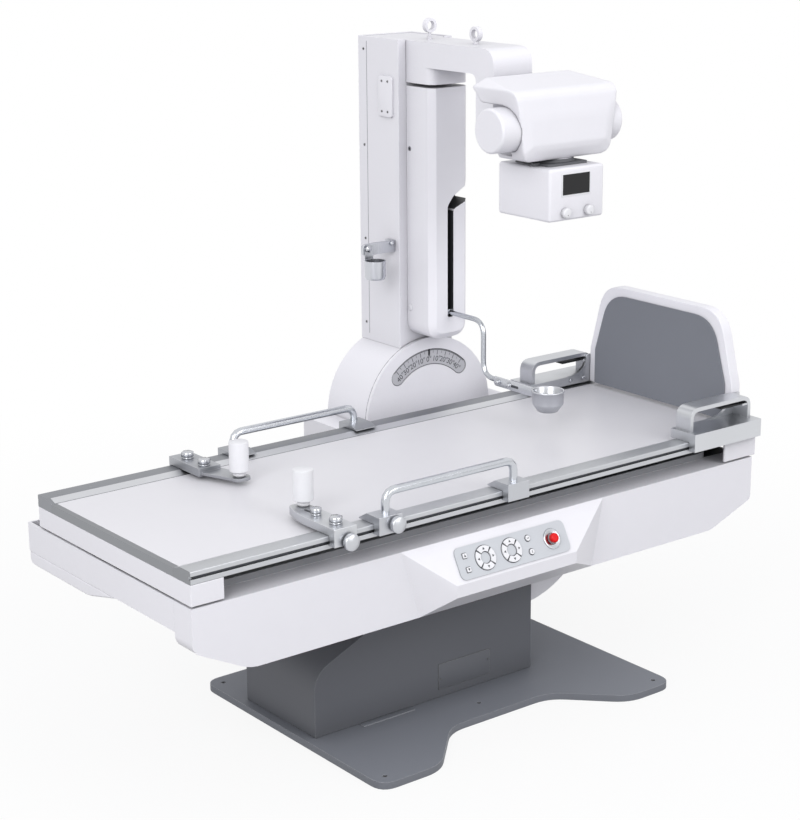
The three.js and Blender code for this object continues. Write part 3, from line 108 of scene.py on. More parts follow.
def new_finish(name):
    """A new material, and the start of its shader nodes."""
    material = bpy.data.materials.new(name)
    material.use_nodes = True
    material.node_tree.nodes.clear()
    return material, Socket(material.node_tree)


def in_view(start):
    """1 for a ray that shows what it meets: from the camera, off metal or through glass."""
    path = start.add("LightPath")
    return path["Is Camera Ray"] + path["Is Glossy Ray"] + path["Is Transmission Ray"]


MM = 0.001
scene = bpy.context.scene
scene.view_settings.view_transform = "Standard"

CAMERA_AT = (-3.1830, -4.1274, 2.3258)
CAMERA_PITCH, CAMERA_HEADING, CAMERA_ROLL = (math.radians(turn) for turn in (74.25, -38.38, -0.25))
camera = bpy.data.objects.new("camera", bpy.data.cameras.new("camera"))
camera.data.sensor_width = 36
camera.data.lens = 85.80
camera.data.shift_x = -0.0278
camera.data.shift_y = -0.0023
camera.data.clip_end = 60
camera_turn = Euler((CAMERA_PITCH, 0, CAMERA_HEADING)).to_matrix()
camera_turn = camera_turn @ Matrix.Rotation(CAMERA_ROLL, 3, "Z")
camera.matrix_world = Matrix.Translation(CAMERA_AT) @ camera_turn.to_4x4()
scene.collection.objects.link(camera)
scene.camera = camera

ROOM_WHITE, DAYLIGHT = (1, 1, 1, 1), (0.98, 0.985, 1, 1)
DAYLIGHT_LEVEL, CURTAIN_LEVEL = 0.85, 0.72
CURTAIN_FOOT, CURTAIN_TOP = (0.02, 0.1), (0.2, 0.34)
world = bpy.data.worlds.new("studio")
world.use_nodes = True
world.node_tree.nodes.clear()
room = Socket(world.node_tree)
daylight = room.add("Background", sockets={"Color": DAYLIGHT, "Strength": DAYLIGHT_LEVEL})
wall = room.add("Background", sockets={"Color": ROOM_WHITE, "Strength": 1.0})
curtain = room.add("Background", sockets={"Color": ROOM_WHITE, "Strength": CURTAIN_LEVEL})
height = room.add("SeparateXYZ", sockets={0: room.add("TexCoord", output="Generated")}, output="Z")
mirrored = room.add("LightPath", output="Is Glossy Ray")
mirrored = mirrored * height.ramp(*CURTAIN_FOOT) * (1 - height.ramp(*CURTAIN_TOP))
backdrop = room.add("MixShader", sockets={0: mirrored, 1: wall, 2: curtain})
seen = room.add("MixShader", sockets={0: in_view(room), 1: daylight, 2: backdrop})
room.add("OutputWorld", sockets={"Surface": seen})
scene.world = world

SOFTBOXES = {
    "softbox_head": ((-4.6, -2.6, 3.4), (0.2, 0, 0.9), 3.0, 142),
    "softbox_front": ((1.4, -5.4, 3.2), (0.2, 0, 0.8), 3.2, 97),
}
for name, (place, target, side, watts) in SOFTBOXES.items():
    lamp = bpy.data.objects.new(name, bpy.data.lights.new(name, "AREA"))
    lamp.data.size = side
    lamp.data.energy = watts
    aim = (Vector(target) - Vector(place)).to_track_quat("-Z", "Y")
    lamp.matrix_world = Matrix.Translation(place) @ aim.to_matrix().to_4x4()
    scene.collection.objects.link(lamp)

FLOOR_HALF, FLOOR_Z = 9.0, -0.0004
FLOOR_LIT, FLOOR_BOUNCE = (0.8, 0.8, 0.81, 1), (0.2, 0.2, 0.205, 1)
FLOOR_GLOW, FLOOR_FADE = 0.88, (1.0, 3.4)
floor_sides = [(-1, -1), (1, -1), (1, 1), (-1, 1)]
floor_points = [(x * FLOOR_HALF, y * FLOOR_HALF, FLOOR_Z) for x, y in floor_sides]
floor_mesh = bpy.data.meshes.new("studio_floor")
floor_mesh.from_pydata(floor_points, [], [(0, 1, 2, 3)])
floor = bpy.data.objects.new("studio_floor", floor_mesh)
scene.collection.objects.link(floor)
floor_paint, start = new_finish("studio_floor")
place = start.add("TexCoord", output="Object")
far = start.add("VectorMath", {"operation": "LENGTH"}, {0: place}, "Value")
lit = start.add("BsdfDiffuse", sockets={"Color": FLOOR_LIT})
bounce = start.add("BsdfDiffuse", sockets={"Color": FLOOR_BOUNCE})
glow = start.add("Emission", sockets={"Color": ROOM_WHITE, "Strength": 1.0})
white = FLOOR_GLOW + far.ramp(*FLOOR_FADE) * (1 - FLOOR_GLOW)
shown = start.add("MixShader", sockets={0: white, 1: lit, 2: glow})
seen = start.add("MixShader", sockets={0: in_view(start), 1: bounce, 2: shown})
start.add("OutputMaterial", sockets={"Surface": seen})
floor_mesh.materials.append(floor_paint)


# Floor plate: one thick steel plate with two front feet, cut out, edges broken, powder coated grey.
# It is bolted down through five holes, whose socket head anchors sit just under its face.
def shade(colour, level):
    """A colour made darker or lighter by level, up to white."""
    return [min(level * part, 1) for part in colour[:3]] + [1]


def noise(place, scale, detail):
    """Soft random levels over a place."""
    return place.add("TexNoise", sockets={"Vector": place, "Scale": scale, "Detail": detail})


def bump(height, strength, depth):
    """Relief in metres from a value that stands for height."""
    return height.add("Bump", sockets={"Strength": strength, "Distance": depth, "Height": height})


def close_finish(material, start, sockets):
    """Put one shader with these sockets on a material's output."""
    shader = start.add("BsdfPrincipled", sockets=sockets)
    start.add("OutputMaterial", sockets={"Surface": shader})
    return material


def within(place, planes):
    """1 where a place lies beyond every plane, each a direction and a distance in millimetres."""
    inside = 1.0
    for direction, distance in planes:
        inside = inside * place.maths("GREATER_THAN", place.dot(direction), distance * MM)
    return inside


CORNER_SHADE, CORNER_DEPTH = 0.3, 0.7


def paint_corner_shade(tone, colour, reach=0.09):
    """Tone darkened where ambient occlusion finds inner corners: painted shade."""
    sky = tone.add("AmbientOcclusion", {"samples": 6}, {"Distance": reach}, "AO")
    return ((1 - sky) * CORNER_DEPTH).tint(tone, shade(colour, CORNER_SHADE))


def powder_coat(name, colour, roughness, grain, depth, edge_highlight=0.0, hollows=()):
    """Baked paint: orange peel, cloudy tone and gloss, edges painted paler as a painted highlight,
    inner corners and hollows darker as painted shade.
    """
    material, start = new_finish(name)
    place = start.add("TexCoord", output="Object")
    cloud = noise(place, 2.4, 3.0)
    peel = noise(place, 1 / grain, 2.0)
    speck = noise(place, 0.21 / grain, 4.0)
    mottle = cloud * 0.55 + speck * 0.30 + peel * 0.15
    tone = mottle.tint(shade(colour, 0.955), shade(colour, 1.045))
    # Edges are painted paler where the bevelled normal turns: a painted highlight.
    if edge_highlight:
        eased = start.add("Bevel", {"samples": 4}, {"Radius": 2 * MM})
        facet = start.add("NewGeometry", output="Normal")
        rubbed = (1 - eased.dot(facet)) * speck * (14 * edge_highlight)
        tone = rubbed.tint(tone, [0.5 * part + 0.30 for part in colour[:3]] + [1])
    tone = paint_corner_shade(tone, colour)
    for planes, hollow in hollows:
        tone = within(place, planes).tint(tone, hollow)
    sockets = {
        "Base Color": tone,
        "Roughness": roughness + (cloud - 0.5) * 0.16 + (peel - 0.5) * 0.10,
        "Normal": bump(peel, 0.35, depth),
        "Specular IOR Level": 0.45,
    }
    return close_finish(material, start, sockets)


WELD_GAP = 0.02
FLAT_ANGLE, SHARP_ANGLE = math.radians(0.4), math.radians(34)


def soften(node, finish, width, steps=3, angle=28, smooth=True):
    """Finish a frame solid: weld its faces, break its edges by width and smooth its shading."""
    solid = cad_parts[node]
    solid.data.materials.clear()
    solid.data.materials.append(finish)
    solid.data.polygons.foreach_set("use_smooth", [smooth] * len(solid.data.polygons))
    solid.modifiers.new("weld", "WELD").merge_threshold = WELD_GAP * MM
    flat = solid.modifiers.new("flat", "DECIMATE")
    flat.decimate_type = "DISSOLVE"
    flat.angle_limit = FLAT_ANGLE
    edge = solid.modifiers.new("edge", "BEVEL")
    edge.width = width * MM
    edge.segments = steps
    edge.limit_method = "ANGLE"
    edge.angle_limit = math.radians(angle)
    if smooth:
        solid.modifiers.new("shade", "WEIGHTED_NORMAL").keep_sharp = True


UP, BACK, FRONT, HEAD = (0, 0, 1), (0, 1, 0), (0, -1, 0), (-1, 0, 0)


def facing(at, normal, up=UP):
    """A place in millimetres whose own z is normal and whose own y is up."""
    z = Vector(normal).normalized()
    x = Vector(up).cross(z).normalized()
    return Matrix.Translation(at) @ Matrix((x, z.cross(x), z)).transposed().to_4x4()


def add_piece(name, shape, finish, body, at):
    """A piece from a shape in millimetres, smooth but for its sharp edges, that rides on a body."""
    for edge in shape.edges:
        edge.smooth = edge.calc_face_angle(math.pi) < SHARP_ANGLE
    for face in shape.faces:
        face.smooth = True
    bmesh.ops.transform(shape, matrix=Matrix.Scale(MM, 4) @ at, verts=shape.verts)
    mesh = bpy.data.meshes.new(name)
    shape.to_mesh(mesh)
    shape.free()
    mesh.materials.append(finish)
    piece = bpy.data.objects.new(name, mesh)
    scene.collection.objects.link(piece)
    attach(piece, body)
    return piece


def turned(profile, sides, flutes=1.0, shape=None):
    """A shape turned on its own z from (radius, height) pairs. Flutes below 1 cut grip grooves."""
    shape = shape or bmesh.new()
    rings = []
    for radius, height in profile:
        ring = []
        for i in range(sides if radius else 1):
            turn = 2 * math.pi * i / sides
            reach = radius * (flutes if i % 2 else 1)
            ring.append(shape.verts.new((reach * math.cos(turn), reach * math.sin(turn), height)))
        rings.append(ring)
    closed = profile[0][0] and profile[-1][0]
    for low, high in zip(rings, rings[1:] + rings[:1] if closed else rings[1:]):
        for i in range(sides):
            j = (i + 1) % sides
            foot = [low[i % len(low)], low[j % len(low)]]
            head = [high[j % len(high)], high[i % len(high)]]
            shape.faces.new(list(dict.fromkeys(foot + head)))
    return shape


def socket_screw(radius, height):
    """A round screw head with a chamfer and a hexagon socket."""
    chamfer = [(radius, 0.7 * height), (0.86 * radius, height), (0.5 * radius, height)]
    shape = turned([(0, 0), (radius, 0), *chamfer], 24)
    rim = [edge for edge in shape.edges if edge.is_boundary]
    well = [
        shape.verts.new((0.46 * radius * math.cos(turn), 0.46 * radius * math.sin(turn), z))
        for z in (height, 0.35 * height)
        for turn in (math.pi * i / 3 for i in range(6))
    ]
    for i in range(6):
        shape.faces.new([well[i], well[(i + 1) % 6], well[6 + (i + 1) % 6], well[6 + i]])
    shape.faces.new(well[6:])
    mouth = [edge for edge in shape.edges if edge.is_boundary and edge not in rim]
    bmesh.ops.bridge_loops(shape, edges=rim + mouth)
    bmesh.ops.recalc_face_normals(shape, faces=shape.faces)
    return shape


plate_paint = powder_coat("plate_paint", rgb(127, 130, 138), 0.56, 0.0011, 0.00012, edge_highlight=0.9)
soften("floor_plate", plate_paint, 2.0)
# Blackened steel for the screws; the vents and the hatch's outline use it as painted shade.
black_steel_and_shade = powder_coat("black_steel_and_shade", rgb(44, 45, 48), 0.45, 0.0006, 0.00005, edge_highlight=0.6)


def add_screws(name, places, radius, height, body, normal, up=UP):
    """Blackened socket screws with a head of this radius and height, one at each place."""
    for i, at in enumerate(places):
        screw = socket_screw(radius, height)
        at = facing(at, normal, up)
        add_piece(f"{name}_{i + 1}", screw, black_steel_and_shade, body, at)


ANCHORS = [(-380, -423), (600, -423), (-380, 350), (600, 350), (106, -225)]
ANCHOR_Z, ANCHOR_R, ANCHOR_HEIGHT = 9, 6.4, 9
anchor_places = [(x, y, ANCHOR_Z) for x, y in ANCHORS]
add_screws("floor_anchor", anchor_places, ANCHOR_R, ANCHOR_HEIGHT, "base", UP, BACK)


# Pedestal cover: folded and welded sheet steel in the floor plate's grey, screwed to the floor
# plate.
# Its front has a service hatch on two screws, and a cable strip lies on the plate before it.
# A larger hatch at its back, on four screws, lets the drive's warm air out through six vents.
def rounded(width, height, radius, steps=5):
    """Corner points of a rectangle with round corners, about its own middle."""
    points = []
    for quarter, (u, v) in enumerate(((1, 1), (-1, 1), (-1, -1), (1, -1))):
        for i in range(steps + 1):
            turn = math.pi / 2 * (quarter + i / steps)
            x = u * (width / 2 - radius) + radius * math.cos(turn)
            y = v * (height / 2 - radius) + radius * math.sin(turn)
            points.append((x, y))
    return points


def slab(outline, thick, edge=0.0, steps=2):
    """A plate from its corner points, with its upper rim rounded by edge."""
    shape = bmesh.new()
    face = shape.faces.new([shape.verts.new((x, y, 0)) for x, y in outline])
    raised = bmesh.ops.extrude_face_region(shape, geom=[face])["geom"]
    lifted = [v for v in raised if isinstance(v, bmesh.types.BMVert)]
    bmesh.ops.translate(shape, verts=lifted, vec=(0, 0, thick))
    bmesh.ops.recalc_face_normals(shape, faces=shape.faces)
    if edge:
        rim = [e for e in shape.edges if min(v.co.z for v in e.verts) > thick - 1e-4]
        bmesh.ops.bevel(
            shape, geom=rim, offset=edge, segments=steps, profile=0.5, affect="EDGES"
        )
    return shape


def add_vents(name, count, width, lowest, pitch, body):
    """Vent slots across a cover at the back, from the lowest up, drawn as dark sheets: painted
    shade.
    """
    x, y, z = lowest
    for i in range(count):
        vent = slab(rounded(width, 6, 2.9), 0.3)
        at = facing((x, y, z + pitch * i), BACK)
        add_piece(f"{name}_{i + 1}", vent, black_steel_and_shade, body, at)


# The pedestal is coloured a darker grey than the floor plate: painted shade under the table.
base_paint = powder_coat("base_paint", rgb(98, 100, 106), 0.56, 0.0011, 0.00012, edge_highlight=0.5)
soften("pedestal_cover", base_paint, 2.4)
PEDESTAL_FRONT, PEDESTAL_BACK, PLATE_TOP = -127, 207, 20
HATCH_X, HATCH_Z, HATCH_WIDTH, HATCH_HEIGHT = 133, 83, 190, 76
HATCH_GAP_SHADE, HATCH_SCREW_IN, HATCH_SCREW_RISE = 3, 7, 8
hatch_at = facing((HATCH_X, PEDESTAL_FRONT, HATCH_Z), FRONT)
# A black outline round the service hatch is painted shade in the gap round it.
add_piece(
    "hatch_gap_shade",
    slab(rounded(HATCH_WIDTH + HATCH_GAP_SHADE, HATCH_HEIGHT + HATCH_GAP_SHADE, 5), 0.3),
    black_steel_and_shade,
    "base",
    hatch_at,
)
add_piece(
    "service_hatch",
    slab(rounded(HATCH_WIDTH, HATCH_HEIGHT, 4), 1.0, 0.3),
    base_paint,
    "base",
    hatch_at,
)
hatch_screws = [
    (
        HATCH_X + side * (HATCH_WIDTH / 2 - HATCH_SCREW_IN),
        PEDESTAL_FRONT - 0.9,
        HATCH_Z + side * HATCH_SCREW_RISE,
    )
    for side in (-1, 1)
]
add_screws("hatch_screw", hatch_screws, 2.6, 1.6, "base", FRONT)
add_piece(
    "floor_strip",
    slab(rounded(180, 22, 2), 2.2, 0.8),
    plate_paint,
    "base",
    facing((-154, -140, PLATE_TOP), UP, BACK),
)
CORNERS = ((-1, -1), (1, -1), (-1, 1), (1, 1))
BACK_HATCH_X, BACK_HATCH_Z, BACK_HATCH_WIDTH, BACK_HATCH_HEIGHT = 40, 190, 300, 210
BACK_HATCH_SCREW_IN = 14
add_piece(
    "back_hatch",
    slab(rounded(BACK_HATCH_WIDTH, BACK_HATCH_HEIGHT, 8), 1.6, 0.5),
    base_paint,
    "base",
    facing((BACK_HATCH_X, PEDESTAL_BACK, BACK_HATCH_Z), BACK),
)
back_hatch_screws = [
    (
        BACK_HATCH_X + across * (BACK_HATCH_WIDTH / 2 - BACK_HATCH_SCREW_IN),
        PEDESTAL_BACK + 1.4,
        BACK_HATCH_Z + rise * (BACK_HATCH_HEIGHT / 2 - BACK_HATCH_SCREW_IN),
    )
    for across, rise in CORNERS
]
add_screws("back_hatch_screw", back_hatch_screws, 4.5, 2.2, "base", BACK)
lowest_vent = (BACK_HATCH_X, PEDESTAL_BACK + 1.5, BACK_HATCH_Z - 40)
add_vents("back_vent", 6, 150, lowest_vent, 16, "base")


# Tilt drive: two milled steel cheeks on a sole plate, the geared motor between them, two rollers.
# The plate on the sector's back carries the table. All of it is bare steel behind the covers.
TOOL_PITCH, TOOL_RUN = 0.0007, 0.25


def machined(name, colour, roughness, along, faces=(), reach=0.05):
    """Bare or anodised metal: tool lines along one axis, a bloom of gloss, and painted shade in
    inner corners and on some faces.
    """
    material, start = new_finish(name)
    place = start.add("TexCoord", output="Object")
    lines_scale = [1 / (TOOL_RUN if axis == along else TOOL_PITCH) for axis in "xyz"]
    drawn = start.add("Mapping", sockets={"Vector": place, "Scale": lines_scale})
    lines = noise(drawn, 1.0, 2.0)
    bloom = noise(place, 5.0, 3.0)
    tone = (lines * 0.6 + bloom * 0.4).tint(shade(colour, 0.90), shade(colour, 1.08))
    tone = paint_corner_shade(tone, colour, reach)
    for planes, darker_tone in faces:
        tone = within(place, planes).tint(tone, darker_tone)
    sockets = {
        "Base Color": tone,
        "Metallic": 1.0,
        "Roughness": roughness + (bloom - 0.5) * 0.14 + (lines - 0.5) * 0.16,
        "Normal": bump(lines, 0.2, 0.00004),
    }
    return close_finish(material, start, sockets)


drive_steel = machined("drive_steel", rgb(150, 152, 156), 0.42, "x")
for node in ("pedestal_frame", "tilt_motor", "carriage_plate"):
    soften(node, drive_steel, 1.5)
roller_steel = machined("roller_steel", rgb(168, 170, 174), 0.3, "y")
for node in ("drive_pinion", "support_roller"):
    soften(node, roller_steel, 1.5)


# Tilt sector and table body: welded sheet steel, ground flush and powder coated white.
# The sector turns on the rollers, and the body slides along the plate on its back.
# The body's inside, its cross beams and the ledge of its front wall are coloured grey as painted
# shade.
WHITE = rgb(235, 234, 240)
white_paint = powder_coat("white_paint", WHITE, 0.40, 0.0013, 0.00007)
soften("tilt_sector", white_paint, 2.0)
FOOT = (1, 0, 0)
# Dark and mid grey tones where the tabletop shades the body: painted shade.
TRAY_SHADE, LEDGE_SHADE = rgb(116, 117, 121), rgb(136, 137, 141)
TRAY_HOLLOW = [(FOOT, -914), (HEAD, -1030), (BACK, -294.2), (FRONT, -372), (UP, 528)]
TRAY_RIBS = [(BACK, -299.2), (FRONT, -441.5), (UP, 605.2)]
TRAY_LEDGE = [(FRONT, 299.2), (UP, 605.2)]
tray_painted_shade = [(TRAY_HOLLOW, TRAY_SHADE), (TRAY_RIBS, TRAY_SHADE), (TRAY_LEDGE, LEDGE_SHADE)]
tray_paint = powder_coat("tray_paint", WHITE, 0.40, 0.0013, 0.00007, hollows=tray_painted_shade)
soften("body_tray", tray_paint, 1.2)


# Front skirt with the console, and the cover of the drive block: vacuum formed shells, white
# right through. Both are screwed on from behind, and their corners are soft from the mould.
def cells(place, scale):
    """Small round cells over a place, dark in their middles."""
    return place.add("TexVoronoi", {"feature": "SMOOTH_F1"}, {"Vector": place, "Scale": scale})


def moulded(name, colour, roughness, grain=0.0008, depth=0.00005, specular=0.4, hollows=()):
    """Moulded plastic: fine even pores, faint clouds, a satin gloss, and painted shade in inner
    corners and hollows.
    """
    material, start = new_finish(name)
    place = start.add("TexCoord", output="Object")
    cloud = noise(place, 1.8, 2.0)
    pores = cells(place, 1 / grain)
    smear = noise(place, 22.0, 5.0)
    tone = (cloud * 0.6 + smear * 0.4).tint(shade(colour, 0.965), shade(colour, 1.03))
    tone = paint_corner_shade(tone, colour)
    for planes, dark in hollows:
        tone = within(place, planes).tint(tone, dark)
    sockets = {
        "Base Color": tone,
        "Roughness": roughness + (smear - 0.5) * 0.18 + (pores - 0.4) * 0.08,
        "Normal": bump(pores, 0.3, depth),
        "Specular IOR Level": specular,
    }
    return close_finish(material, start, sockets)


white_shell = moulded("white_shell", WHITE, 0.36)
soften("front_skirt", white_shell, 6.0, 4, 16)
soften("head_block_cover", white_shell, 5.0, 4)


# Control panel: a grey polycarbonate plate let into the console, with a row of white keys.
# Each key is a moulded cap; the dark well round it is painted shade, and its mark is printed in
# dark grey.
panel_grey = moulded("panel_grey", rgb(198, 201, 207), 0.42, 0.0006)
key_white = moulded("key_white", rgb(232, 232, 236), 0.34, 0.0005)
# Dark grey ink for printed marks, also laid in wells, slots and beds as painted shade.
ink_and_shade = moulded("ink_and_shade", rgb(66, 68, 74), 0.5, 0.0004)
soften("control_panel", panel_grey, 1.2, smooth=False)
PANEL_AT = Vector((62, -414.86, 542.0))
PANEL_UP = Vector((0, 0.48564, 0.87416))
PANEL_OUT = Vector((0, -0.87416, 0.48564))
PANEL_FACE, KEY_TOP, WELL_THICK, INK_THICK = 3.3, 6.8, 0.2, 0.2


def on_panel(u, v, height, turn=0.0):
    """A place on the panel: u along it, v up it and height over its back, in millimetres."""
    at = PANEL_AT + Vector((u, 0, 0)) + PANEL_UP * v + PANEL_OUT * height
    return facing(at, PANEL_OUT, PANEL_UP) @ Matrix.Rotation(turn, 4, "Z")


ARROW = [(-3.2, -3.6), (3.8, 0), (-3.2, 3.6)]
BAR = [(-3.6, -1.0), (3.6, -1.0), (3.6, 1.0), (-3.6, 1.0)]
SQUARE_KEYS_U, ROUND_KEYS_U, KEYS_V = -163, 57, 19
SQUARE_WELL, ROUND_WELL_R = 16.2, 9.8
PADS_U = {"tilt_pad": -98, "travel_pad": -7}
PAD_INNER_R, PAD_MIDDLE_R, PAD_OUTER_R = 15.2, 25, 34.8
QUARTER = math.pi / 2
key_marks = {
    "key_square_upper": (SQUARE_KEYS_U, KEYS_V, QUARTER, ARROW),
    "key_square_lower": (SQUARE_KEYS_U, -KEYS_V, -QUARTER, ARROW),
    "key_round_upper": (ROUND_KEYS_U, KEYS_V, 0, BAR),
    "key_round_lower": (ROUND_KEYS_U, -KEYS_V, QUARTER, BAR),
}
# Dark wells under the pads and keys: painted shade round the keys.
ring_foot = [(PAD_INNER_R, 0), (PAD_OUTER_R, 0)]
ring_face = [(PAD_OUTER_R, WELL_THICK), (PAD_INNER_R, WELL_THICK)]
for pad, pad_u in PADS_U.items():
    for i, part in enumerate(("right", "up", "left", "down")):
        turn = QUARTER * i
        u, v = pad_u + PAD_MIDDLE_R * math.cos(turn), PAD_MIDDLE_R * math.sin(turn)
        key_marks[f"{pad}_{part}"] = (u, v, turn, ARROW)
    well = turned(ring_foot + ring_face, 56)
    at = on_panel(pad_u, 0, PANEL_FACE)
    add_piece(f"{pad}_well", well, ink_and_shade, "table_body", at)
for i, v in enumerate((KEYS_V, -KEYS_V)):
    well = slab(rounded(SQUARE_WELL, SQUARE_WELL, 2), WELL_THICK)
    at = on_panel(SQUARE_KEYS_U, v, PANEL_FACE)
    add_piece(f"square_well_{i + 1}", well, ink_and_shade, "table_body", at)
    disc = [(0, 0), (ROUND_WELL_R, 0), (ROUND_WELL_R, WELL_THICK), (0, WELL_THICK)]
    at = on_panel(ROUND_KEYS_U, v, PANEL_FACE)
    add_piece(f"round_well_{i + 1}", turned(disc, 36), ink_and_shade, "table_body", at)
for key, (u, v, turn, outline) in key_marks.items():
    soften(key, key_white, 0.7)
    at = on_panel(u, v, KEY_TOP, turn)
    add_piece(f"mark_{key}", slab(outline, INK_THICK), ink_and_shade, key, at)


# Emergency stop: a red mushroom button in a dished collar of turned and polished aluminium.
# The collar is clamped through the panel from behind, and the button springs on its stem.
def polished(name, colour, roughness, satin=None):
    """Bright metal: a soft bloom and faint hairlines. Satin gives a matt part's planes and tone."""
    material, start = new_finish(name)
    place = start.add("TexCoord", output="Object")
    bloom = noise(place, 14.0, 4.0)
    hair = noise(place, 70.0, 1.0)
    tone = (bloom * 0.7 + hair * 0.3).tint(shade(colour, 0.93), colour)
    gloss = roughness + (bloom - 0.5) * 0.08 + (hair - 0.5) * 0.04
    if satin:
        planes, darker_tone = satin
        matt = within(place, planes)
        gloss = gloss + matt * 0.2
        tone = matt.tint(tone, darker_tone)
    return close_finish(material, start, {"Base Color": tone, "Metallic": 1.0, "Roughness": gloss})


STOP_U = 138
bright_metal = polished("bright_metal", rgb(206, 208, 213), 0.2)
stop_red = moulded("stop_red", rgb(222, 6, 12), 0.34, 0.0006, 0.00002, 0.3)
soften("estop_button", stop_red, 1.6, 4)
add_piece(
    "estop_collar",
    turned([(14.5, 0), (29, 0), (29, 1.6), (27.6, 2.9), (25.8, 3.0), (17.5, 1.2), (14.5, 1.0)], 56),
    bright_metal,
    "table_body",
    on_panel(STOP_U, 0, PANEL_FACE),
)


# Tabletop rails and head end trim: extruded aluminium, matt anodised, with an accessory groove.
# Grub screws in the front groove, on a strip coloured dark as painted shade, and plugs on the rear
# rail cover the screws into the panel. The front rail's end at the head and the whole rear rail
# are coloured darker than the front rail: painted shade.
TABLE_HEAD, RAIL_MIDDLE_X, RAIL_STRIP = -920, 66, 1950
REAR_SLOPE_OUT, REAR_SLOPE_UP = (0, -10, 30), (0, 30, 10)
# The front rail's end face and the rear rail are coloured darker: painted shade.
RAIL_END_SHADE = ([(HEAD, -TABLE_HEAD - 1)], rgb(146, 148, 152))
rail_aluminium = machined("rail_aluminium", rgb(200, 202, 206), 0.42, "x", faces=[RAIL_END_SHADE])
rear_aluminium_shaded = machined("rear_aluminium_shaded", rgb(152, 154, 159), 0.46, "x")
strip_aluminium = machined("strip_aluminium", rgb(214, 215, 219), 0.4, "x")
trim_aluminium = machined("trim_aluminium", rgb(150, 152, 156), 0.46, "y")
soften("front_rail", rail_aluminium, 0.7)
soften("rear_rail", rear_aluminium_shaded, 0.7)
soften("head_end_trim", trim_aluminium, 0.7)
add_piece(
    "rear_rail_strip",
    slab(rounded(RAIL_STRIP, 26, 1, 2), 0.4, 0.1, 1),
    strip_aluminium,
    "tabletop",
    facing((RAIL_MIDDLE_X, 318, 694.7), REAR_SLOPE_OUT, REAR_SLOPE_UP),
)
GROOVE_Y, GROOVE_Z = -371, 683
add_piece(
    "rear_groove_plug",
    slab(rounded(8.4, 7.6, 0.6, 2), 9, 0.2, 1),
    rear_aluminium_shaded,
    "tabletop",
    facing((TABLE_HEAD + 9.2, -GROOVE_Y + 4.4, GROOVE_Z), HEAD),
)
# The front groove's floor is coloured dark: painted shade.
groove_shade = moulded("groove_shade", rgb(92, 95, 102), 0.5)
add_piece(
    "groove_shade_strip",
    slab(rounded(RAIL_STRIP, 7.4, 1, 2), 0.3),
    groove_shade,
    "tabletop",
    facing((RAIL_MIDDLE_X, GROOVE_Y, GROOVE_Z), FRONT),
)
groove_screws = [(x, GROOVE_Y, GROOVE_Z) for x in (-909, -864, -554, 376, 684)]
add_screws("groove_screw", groove_screws, 3.2, 2.2, "tabletop", FRONT)
PLUG_Y, RAIL_TOP = 343, 700
for i, x in enumerate((-873, -781, -687)):
    add_piece(
        f"rail_plug_{i + 1}",
        turned([(0, -0.6), (8.5, -0.6), (8.5, 0.05), (7.8, 0.35), (0, 0.5)], 32),
        rear_aluminium_shaded,
        "tabletop",
        facing((x, PLUG_Y, RAIL_TOP), UP, BACK),
    )


# Tabletop panel: a carbon fibre and foam sandwich under a pale grey laminate with a silky face.
# It lies between the rails, so that only its face and its foot end show.
def laminate(name, colour):
    """Pressed laminate: tiny pale and dark flecks, a silk gloss and a barely felt grain."""
    material, start = new_finish(name)
    place = start.add("TexCoord", output="Object")
    fleck = noise(place, 520.0, 3.0)
    cloud = noise(place, 1.6, 3.0)
    rubbed = noise(place, 9.0, 6.0)
    sockets = {
        "Base Color": (fleck * 0.5 + cloud * 0.5).tint(shade(colour, 0.93), shade(colour, 1.04)),
        "Roughness": 0.36 + (rubbed - 0.5) * 0.22,
        "Normal": bump(fleck, 0.2, 0.00003),
        "Specular IOR Level": 0.5,
    }
    return close_finish(material, start, sockets)


top_laminate = laminate("top_laminate", rgb(220, 219, 224))
soften("tabletop_panel", top_laminate, 0.6)


# End covers: white channels under the rails, which wrap the tabletop's corners.
# Each is moulded in one piece and clipped to the cross beams.
for node in ("head_end_cover", "foot_end_cover"):
    soften(node, white_shell, 2.5)


# Column carriage, disc plate and drum: welded steel, filled, ground and powder coated white.
# The carriage runs on the guide behind the table, and the drum turns behind the fixed disc plate.
# Seven screws round the drum's back hold its cover.
soften("column_carriage", white_paint, 3.0)
soften("disc_plate", white_paint, 2.2)
soften("column_drum", white_paint, 2.2)
COLUMN_X, PIVOT_Z = 557, 620
DRUM_BACK, DRUM_SCREWS_R = 772, 218
drum_turns = [math.radians(22 + 136 * i / 6) for i in range(7)]
drum_screws = [
    (COLUMN_X + DRUM_SCREWS_R * math.cos(turn), DRUM_BACK, PIVOT_Z + DRUM_SCREWS_R * math.sin(turn))
    for turn in drum_turns
]
add_screws("drum_screw", drum_screws, 5.5, 3, "column", BACK)


# Image detector: a flat black box under the tabletop, moulded in filled resin.
# It hangs on a link from the column carriage, so that it follows the tube.
# Black resin for the detector, the pointer and the levers; the locking bore uses it as painted
# shade.
black_resin_and_shade = moulded("black_resin_and_shade", rgb(30, 31, 34), 0.5)
soften("image_detector", black_resin_and_shade, 2.0)


